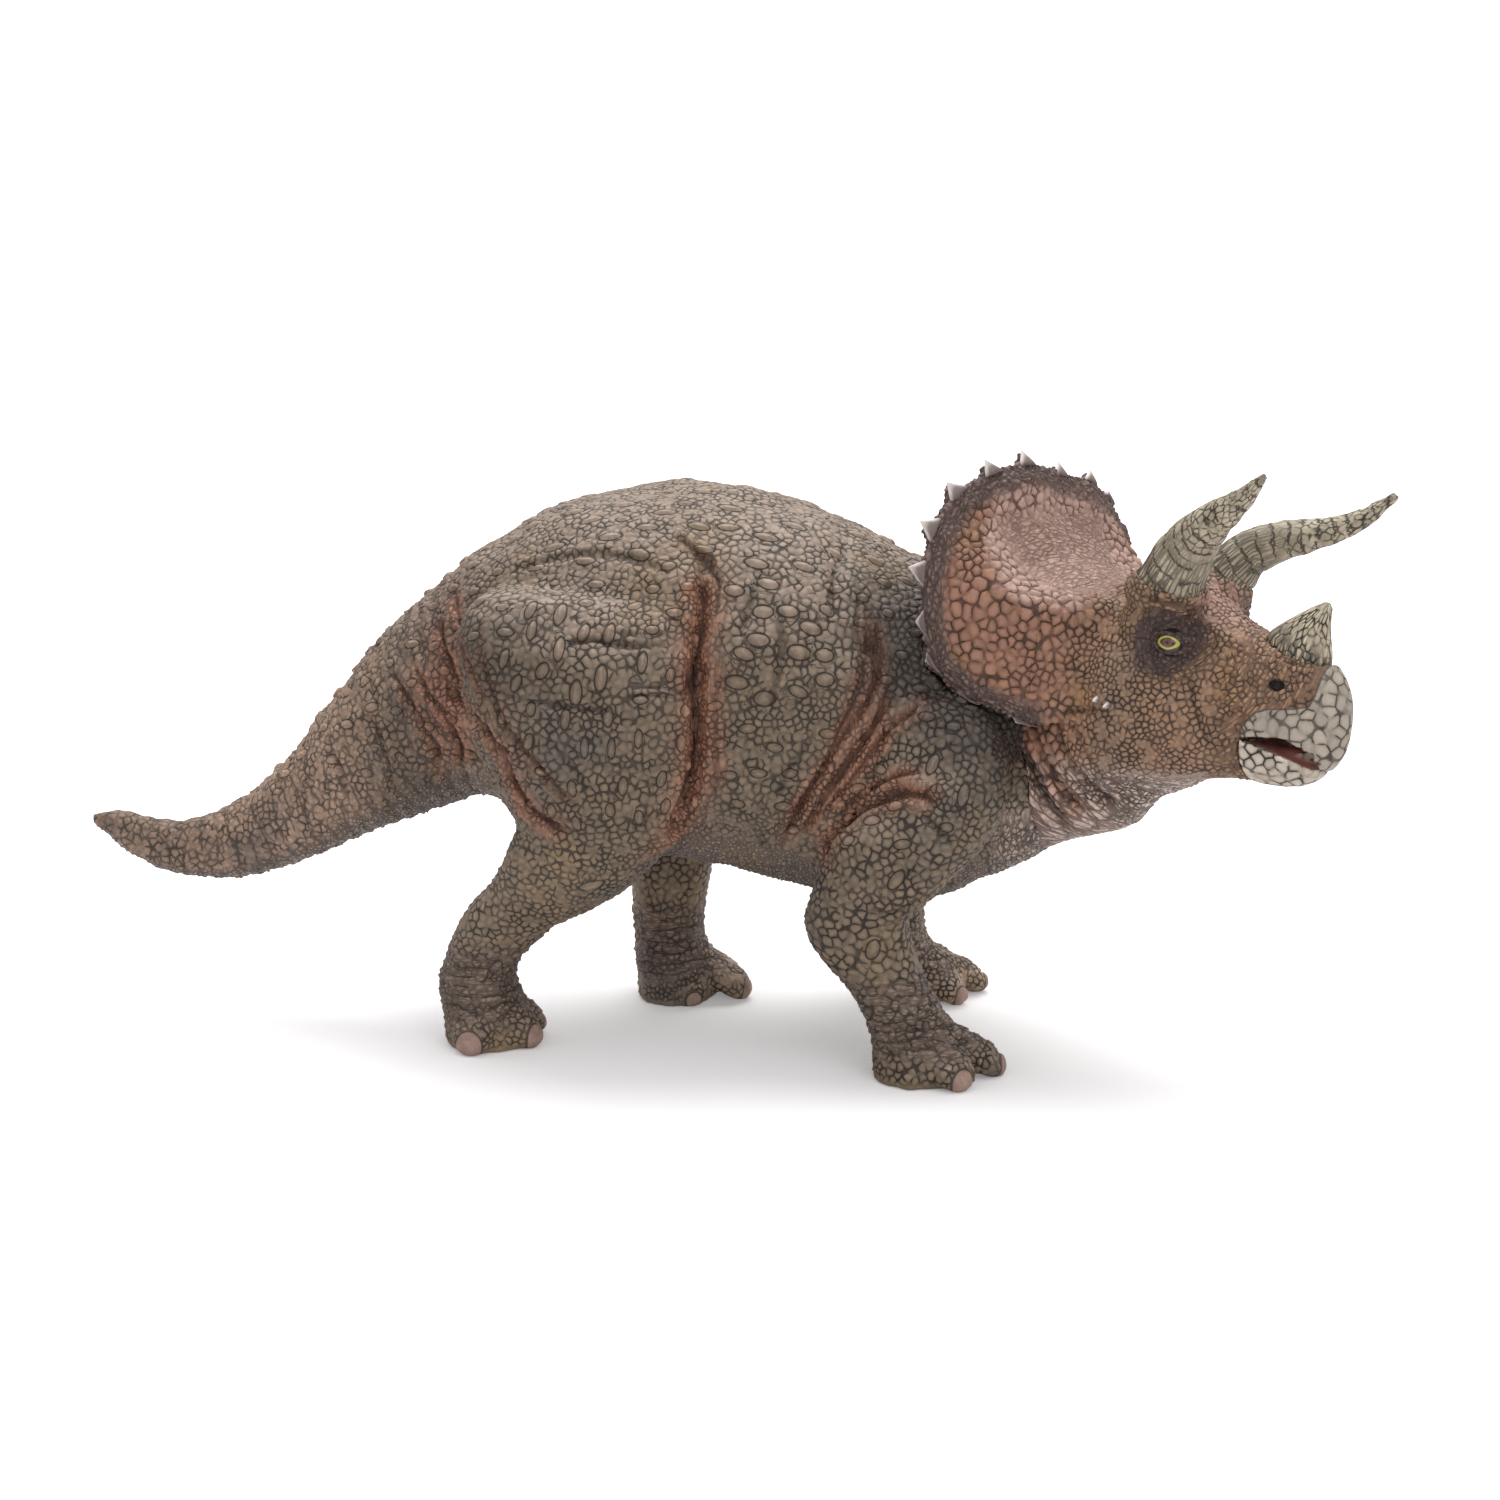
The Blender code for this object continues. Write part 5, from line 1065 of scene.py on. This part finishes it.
def eyeball(name, side, settings, material):
    """Eyeball with a thin yellow almond round the pupil, behind the lids."""
    centre = np.array([EYE[0] - 0.2, side * 11.9, EYE[1]])
    gaze = np.array([0.28, side * 0.955, 0.06])
    gaze /= np.linalg.norm(gaze)
    across = np.cross((0, 0, 1), gaze)
    across /= np.linalg.norm(across)
    over = np.cross(gaze, across)
    rings, paint = [], []
    for row in range(60):
        lean = math.radians(1 + 89 * row / 59)
        turns = np.arange(72) * math.tau / 72
        ring = centre + EYEBALL * (math.cos(lean) * gaze + math.sin(lean)
                                * (np.cos(turns)[:, None] * across + np.sin(turns)[:, None] * over))
        right, above = (ring - centre) @ across, (ring - centre) @ over
        shape = almond(right * 1.05, above * 1.05)
        iris = np.hypot(right, above) / IRIS
        shade = mixed(linear("#2B1A14"), settings.pupil_paint, smoothstep(0.25, 0.4, iris))
        shade = mixed(shade, linear("#1A120E"), smoothstep(0.86, 1.0, iris))
        white = smoothstep(0.70, 0.78, shape + 0.05 * smoothstep(0.2, -0.4, above))
        shade = mixed(shade, settings.eye_paint, white)
        shade = mixed(shade, linear("#17110E"), smoothstep(0.96, 1.04, shape))
        rings.append(from_head(ring))
        paint.append(shade)
    return lofted(name, rings, material, "head_paint", paint)


# Materials

def node(tree, kind, inputs=(), output=0, **settings):
    """Add a shader node with its settings, and give one of its outputs. Inputs go by name or in order,
    which for a range is value, from low, from high, to low, to high."""
    made = tree.nodes.new("ShaderNode" + kind)
    for name, value in settings.items():
        setattr(made, name, value)
    for name, value in inputs.items() if isinstance(inputs, dict) else enumerate(inputs):
        if isinstance(value, bpy.types.NodeSocket):
            tree.links.new(value, made.inputs[name])
        else:
            made.inputs[name].default_value = value
    return made.outputs[output] if made.outputs else None


def new_material(name):
    material = bpy.data.materials.new(name)
    material.use_nodes = True
    material.node_tree.nodes.clear()
    return material, partial(node, material.node_tree)


def scale_gaps(add, place):
    """How much nearer a point is to its own scale's middle than to the next one's, and how near that is."""
    gaps = []
    for index in range(4):
        seed = add("Attribute", output="Vector", attribute_name=f"scale_seed_{index}")
        gaps.append(add("VectorMath", (place, seed), "Value", operation="DISTANCE"))
    low, high = [], []
    for first in (0, 2):
        pair = gaps[first:first + 2]
        low.append(add("Math", pair, operation="MINIMUM"))
        high.append(add("Math", pair, operation="MAXIMUM"))
    nearest = add("Math", low, operation="MINIMUM")
    later = add("Math", low, operation="MAXIMUM")
    other = add("Math", high, operation="MINIMUM")
    second = add("Math", (later, other), operation="MINIMUM")
    return add("Math", (second, nearest), operation="SUBTRACT"), nearest


# Attributes that a skin gives its material, each with the output that the material reads
SKIN_FIELDS = {"scale_place": "Vector", "knob_place": "Vector", "fold_place": "Vector", "crackle": "Fac",
               "scale_size": "Fac", "scale_tone": "Fac", "folded": "Fac", "ring": "Fac", "ringed": "Fac",
               "horny": "Fac", "paint": "Color", "wash": "Color"}


def skin_material(name, horn_paint, crack, waver):
    """Moulded PVC, sprayed in patches, with a dark wash that settles in the cracks and spreads from them as
    painted shade, and a pale dry brush over the scales that also paints their highlights. The paint is satin:
    a broad, weak highlight and no mirror."""
    material, add = new_material(name)
    outputs = {name: add("Attribute", output=output, attribute_name=name)
               for name, output in SKIN_FIELDS.items()}
    place, crackle, wash = outputs["scale_place"], outputs["crackle"], outputs["wash"]
    # The cracks waver from bend to bend, about 1 mm apart, as if cut by hand
    bend = add("TexNoise", {"Vector": place, "Scale": 0.9, "Detail": 2.0}, "Color")
    bend = add("VectorMath", (bend, (0.5, 0.5, 0.5)), operation="SUBTRACT")
    bent = add("VectorMath", (bend, (waver, waver, waver), place), operation="MULTIPLY_ADD")
    gap, nearest = scale_gaps(add, bent)
    # The grain is 0.6 mm, like the tool marks left on the master
    grain = add("TexNoise", {"Vector": place, "Scale": 1.6, "Detail": 3.0})
    lines = add("MapRange", (gap, crack * 0.25, crack, 1.0, 0.0), interpolation_type="SMOOTHSTEP")
    # Pits where three scales meet
    corner = add("Math", (nearest, outputs["scale_size"]), operation="DIVIDE")
    corner = add("MapRange", (corner, 0.62, 0.78, 0.0, 0.9), interpolation_type="SMOOTHSTEP")
    lines = add("Math", (lines, corner), operation="MAXIMUM")
    # The wash is thin in places
    patch = add("TexNoise", {"Vector": place, "Scale": 0.22, "Detail": 1.0})
    patch = add("MapRange", (patch, 0.35, 0.6, 0.62, 1.0))
    patch = add("Math", (patch, crackle), operation="MULTIPLY")
    # Cracks break off every few millimetres, so that scales run together into worms
    broken = add("TexNoise", {"Vector": place, "Scale": 0.45, "Detail": 1.0})
    broken = add("MapRange", (broken, 0.38, 0.5, 0.12, 1.0))
    patch = add("Math", (patch, broken), operation="MULTIPLY")
    lines = add("Math", (lines, patch), operation="MULTIPLY")
    # Oval scales stand clear of the cracks, with a dark line round them
    reach = add("VectorMath", (outputs["knob_place"],), "Value", operation="LENGTH")
    clear = add("MapRange", (reach, 0.95, 1.15))
    lines = add("Math", (lines, clear), operation="MULTIPLY")
    edge = add("Math", (reach, -1.12), operation="ADD")
    edge = add("Math", (edge,), operation="ABSOLUTE")
    edge = add("MapRange", (edge, 0.04, 0.17, 0.95, 0.0))
    lines = add("Math", (lines, edge), operation="MAXIMUM")
    # Short wrinkles, 0.6 mm apart, where the skin folds
    wrinkle = add("TexVoronoi", {"Vector": outputs["fold_place"], "Scale": 1.0}, "Distance",
                  feature="DISTANCE_TO_EDGE")
    wrinkle = add("MapRange", (wrinkle, 0.04, 0.2, 0.85, 0.0), interpolation_type="SMOOTHSTEP")
    wrinkle = add("Math", (wrinkle, outputs["folded"]), operation="MULTIPLY")
    lines = add("Math", (lines, wrinkle), operation="MAXIMUM")
    # Rings, one where the number passes a whole one: round horns, eyes, tail and ankles
    sway = add("VectorMath", (bend, (0.35, 0.35, 0.35)), "Value", operation="DOT_PRODUCT")
    ring = add("Math", (outputs["ring"], sway), operation="ADD")
    ring = add("Math", (ring, 0.5), operation="PINGPONG")
    ring = add("MapRange", (ring, crack * 0.1, crack * 0.4, 0.95, 0.0), interpolation_type="SMOOTHSTEP")
    gone = add("TexNoise", {"Vector": place, "Scale": 0.3, "Detail": 1.0})
    gone = add("MapRange", (gone, 0.40, 0.47))
    ring = add("Math", (ring, outputs["ringed"]), operation="MULTIPLY")
    ring = add("Math", (ring, gone), operation="MULTIPLY")
    lines = add("Math", (lines, ring), operation="MAXIMUM")
    # Each scale has its own tone, and the grain mottles it
    tone = add("MapRange", (outputs["scale_tone"], 0.0, 1.0, 0.84, 1.12))
    mottle = add("MapRange", (grain, 0.0, 1.0, 0.78, 1.22))
    value = add("Math", (tone, mottle), operation="MULTIPLY")
    # The paint of the beak or the hooves ends at a crisp edge with a dark line
    verge = add("Math", (outputs["horny"],), operation="ABSOLUTE")
    verge = add("MapRange", (verge, 0.06, 0.24, 0.8, 0.0), interpolation_type="SMOOTHSTEP")
    lines = add("Math", (lines, verge), operation="MAXIMUM")
    horny = add("MapRange", (outputs["horny"], -0.08, 0.08))
    body = add("Mix", {"Factor": horny, 6: outputs["paint"], 7: (*horn_paint, 1)}, 2, data_type="RGBA")
    body = add("VectorMath", {0: body, "Scale": value}, operation="SCALE")
    # Tan dry brush and painted highlight on the scales' tops and the oval scales' crowns; wash that thins out
    # from the cracks
    top = add("MapRange", (gap, 0.4, 1.3, 0.0, 0.45), interpolation_type="SMOOTHSTEP")
    top = add("Math", (top, crackle), operation="MULTIPLY")
    crown = add("MapRange", (reach, 0.9, 0.15, 0.0, 0.55))
    top = add("Math", (top, crown), operation="MAXIMUM")
    pale = add("VectorMath", (body, (1.2, 1.2, 1.2), (0.055, 0.05, 0.044)), operation="MULTIPLY_ADD")
    body = add("Mix", {"Factor": top, 6: body, 7: pale}, 2, data_type="RGBA")
    # Painted shade: the wash's colour thins out from the cracks, partly the dark wash and partly shade round
    # each scale's edge
    soft = add("MapRange", (gap, 0.0, crack * 2.4, 0.45, 0.0), interpolation_type="SMOOTHSTEP")
    soft = add("Math", (soft, patch), operation="MULTIPLY")
    soft = add("Math", (soft, clear), operation="MULTIPLY")
    body = add("Mix", {"Factor": soft, 6: body, 7: wash}, 2, data_type="RGBA")
    share = add("Math", (lines, 0.9), operation="MULTIPLY")
    final = add("Mix", {"Factor": share, 6: body, 7: wash}, 2, data_type="RGBA")
    dome = add("MapRange", (gap, 0.0, 1.2, 0.0, 0.7), interpolation_type="SMOOTHSTEP")
    dome = add("Math", (dome, patch), operation="MULTIPLY")
    height = add("Math", (grain, 0.4, dome), operation="MULTIPLY_ADD")
    height = add("Math", (crown, 2.2, height), operation="MULTIPLY_ADD")
    height = add("Math", (height, lines), operation="SUBTRACT")
    bump = add("Bump", {"Height": height, "Strength": 0.85, "Distance": 0.24 * MM})
    rough = add("MapRange", (grain, 0.3, 0.7, 0.5, 0.66))
    shader = add("BsdfPrincipled", {
        "Base Color": final, "Roughness": rough, "Normal": bump, "IOR": 1.5, "Specular IOR Level": 0.35})
    add("OutputMaterial", {"Surface": shader})
    return material


def studio_card(settings):
    """Matt white card. It runs out to white away from the figure, as a lit sweep does."""
    material, add = new_material("Matt white studio card")
    place = add("TexCoord", output="Object")
    reach = add("VectorMath", (place,), "Value", operation="LENGTH")
    seen = add("LightPath", output="Is Camera Ray")
    far = add("MapRange", (reach, 0.1, 0.5, 0.2, 0.5), interpolation_type="SMOOTHSTEP")
    glow = add("Math", (seen, far), operation="MULTIPLY")
    light = add("Emission", {"Color": (1, 1, 1, 1), "Strength": glow})
    card = add("BsdfDiffuse", {"Color": (*settings.floor_paint, 1)})
    both = add("AddShader", (card, light))
    add("OutputMaterial", {"Surface": both})
    return material


# Operators

class FIGURE_OT_body(bpy.types.Operator):
    """Skin of the trunk, the tail and the four legs"""
    bl_idname = "figure.body"
    bl_label = "Body skin"

    def execute(self, context):
        settings = context.scene.figure_skin
        skin = Skin(BODY_NODES + ("head",), settings.body_grid, BODY_NODES)
        body_fields(skin, settings, context.scene.figure_stage)
        material = skin_material("Painted PVC body skin", context.scene.figure_horns.hoof_paint, 0.31, 0.6)
        skin.pieces(material, {name: name for name in BODY_NODES}, "body_paint")
        return {"FINISHED"}


class FIGURE_OT_head(bpy.types.Operator):
    """Skin of the head with its frill, beak, studs and eyes"""
    bl_idname = "figure.head"
    bl_label = "Head skin"

    def execute(self, context):
        settings, horns = context.scene.figure_skin, context.scene.figure_horns
        skin = Skin(("head", "torso"), settings.head_grid, ("head",), 2)
        head_fields(skin, settings)
        split_head(skin)
        material = skin_material("Painted PVC head skin", horns.beak_paint, 0.28, 0.45)
        skin.pieces(material, {"face": "head", "frill": "head"}, "head_paint")
        tip = plain_material("Dry brushed PVC", 0.6, 0.4, 0.03)
        colours = (linear("#6B5C58"), horns.stud_paint)
        for index, (rim, outward) in enumerate(STUDS):
            before, after = STUDS[max(index - 1, 0)][0], STUDS[min(index + 1, len(STUDS) - 1)][0]
            sideways = np.array(after) - before
            base = np.array(rim) - np.array(outward) * 0.5
            pointed(f"stud_tip_{index:02d}", from_head(base), HEAD_AXES @ outward, HEAD_AXES @ sideways,
                    1.7 + 1.3 * smoothstep(11, 19, rim[2]), 2.1, 0.95, colours, tip, "head_paint")
        gloss = plain_material("Glossy painted PVC", 0.25, 0.5, 0.005, 0.5)
        for side, word in ((-1, "right"), (1, "left")):
            eyeball("eye_" + word, side, horns, gloss)
            for index, seat in enumerate(((11.5, 16.9, 2.1), (13.4, 16.6, 1.4))):
                base = from_head((seat[0], side * seat[1], seat[2]))
                outward = HEAD_AXES @ (0.0, side, -0.25)
                pointed(f"cheek_spike_{index}_{word}", base, outward, (0, 0, 1), 1.5, 0.55, 0.7,
                        colours, tip, "head_paint")
        return {"FINISHED"}


# Voxel size of the horns' and the jaw's skin, in millimetres
HORN_GRID = 0.5


class FIGURE_OT_horns(bpy.types.Operator):
    """Horns and the lower beak with the tongue"""
    bl_idname = "figure.horns"
    bl_label = "Horns and jaw"

    def execute(self, context):
        settings = context.scene.figure_horns
        material = skin_material("Painted PVC horn", settings.horn_paint, 0.36, 0.35)
        for index, name in enumerate(HORN_PATHS):
            skin = Skin((name,), HORN_GRID * MM, rounds=2)
            horn_fields(skin, settings, name, 90 + 5 * index)
            skin.pieces(material, {name: name}, "horn_paint")
        skin = Skin(("lower_jaw",), HORN_GRID * MM, rounds=2)
        jaw_fields(skin, settings)
        skin.pieces(material, {"lower_jaw": "lower_jaw"}, "horn_paint")
        return {"FINISHED"}


# Lamps: name, place and size in metres, share of the key power
LAMPS = (("key", (0.0, 0.24, 0.75), 0.7, 1.0), ("fill", (0.35, -0.7, 0.5), 0.6, 0.3))


class FIGURE_OT_stage(bpy.types.Operator):
    """Pale floor, soft studio light and the camera of the photograph's view"""
    bl_idname = "figure.stage"
    bl_label = "Stage"

    def execute(self, context):
        settings = context.scene.figure_stage
        scene = context.scene
        floor_mesh = bpy.data.meshes.new("floor")
        shape = bmesh.new()
        bmesh.ops.create_grid(shape, x_segments=8, y_segments=8, size=3)
        shape.to_mesh(floor_mesh)
        shape.free()
        floor = placed("floor", floor_mesh)
        floor_mesh.materials.append(studio_card(settings))

        world = bpy.data.worlds.new("Studio")
        scene.world = world
        world.use_nodes = True
        world.node_tree.nodes.clear()
        add = partial(node, world.node_tree)
        seen = add("LightPath", output="Is Camera Ray")
        strength = add("MapRange", (seen, 0.0, 1.0, settings.sky_strength, 1.0))
        sky = add("Background", {"Color": (1, 1, 1, 1), "Strength": strength})
        add("OutputWorld", {"Surface": sky})

        for name, place, size, share in LAMPS:
            lamp = bpy.data.lights.new(name, "AREA")
            lamp.shape = "DISK"
            lamp.size = size
            lamp.energy = settings.key_power * share
            thing = placed(name, lamp)
            thing.location = place
            thing.rotation_euler = (Vector((0, 0, 0.04)) - Vector(place)).to_track_quat("-Z", "Y").to_euler()

        camera = bpy.data.cameras.new("camera")
        camera.lens = camera.sensor_width * settings.distance / settings.view_width
        camera.clip_start = 0.01
        thing = placed("camera", camera)
        thing.location, _, _, back = camera_axes(settings)
        thing.rotation_euler = (-back).to_track_quat("-Z", "Y").to_euler()
        scene.camera = thing
        scene.view_settings.view_transform = "Standard"
        return {"FINISHED"}


class FIGURE_PT_panel(bpy.types.Panel):
    """Buttons and settings of the figure"""
    bl_label = "Dinosaur figure"
    bl_space_type = "VIEW_3D"
    bl_region_type = "UI"
    bl_category = "Figure"

    def draw(self, context):
        for operator in OPERATORS:
            self.layout.operator(operator.bl_idname)
        for group in (context.scene.figure_skin, context.scene.figure_horns, context.scene.figure_stage):
            box = self.layout.box()
            for name in group.__annotations__:
                box.prop(group, name)


OPERATORS = (FIGURE_OT_body, FIGURE_OT_head, FIGURE_OT_horns, FIGURE_OT_stage)
CLASSES = (FigureSkinSettings, FigureHornSettings, FigureStageSettings) + OPERATORS + (FIGURE_PT_panel,)


def register():
    for item in CLASSES:
        bpy.utils.register_class(item)
    bpy.types.Scene.figure_skin = bpy.props.PointerProperty(type=FigureSkinSettings)
    bpy.types.Scene.figure_horns = bpy.props.PointerProperty(type=FigureHornSettings)
    bpy.types.Scene.figure_stage = bpy.props.PointerProperty(type=FigureStageSettings)


def unregister():
    del bpy.types.Scene.figure_skin, bpy.types.Scene.figure_horns, bpy.types.Scene.figure_stage
    for item in reversed(CLASSES):
        bpy.utils.unregister_class(item)


def main():
    register()
    bpy.ops.figure.body()
    bpy.ops.figure.head()
    bpy.ops.figure.horns()
    bpy.ops.figure.stage()


if __name__ == "__main__":
    main()
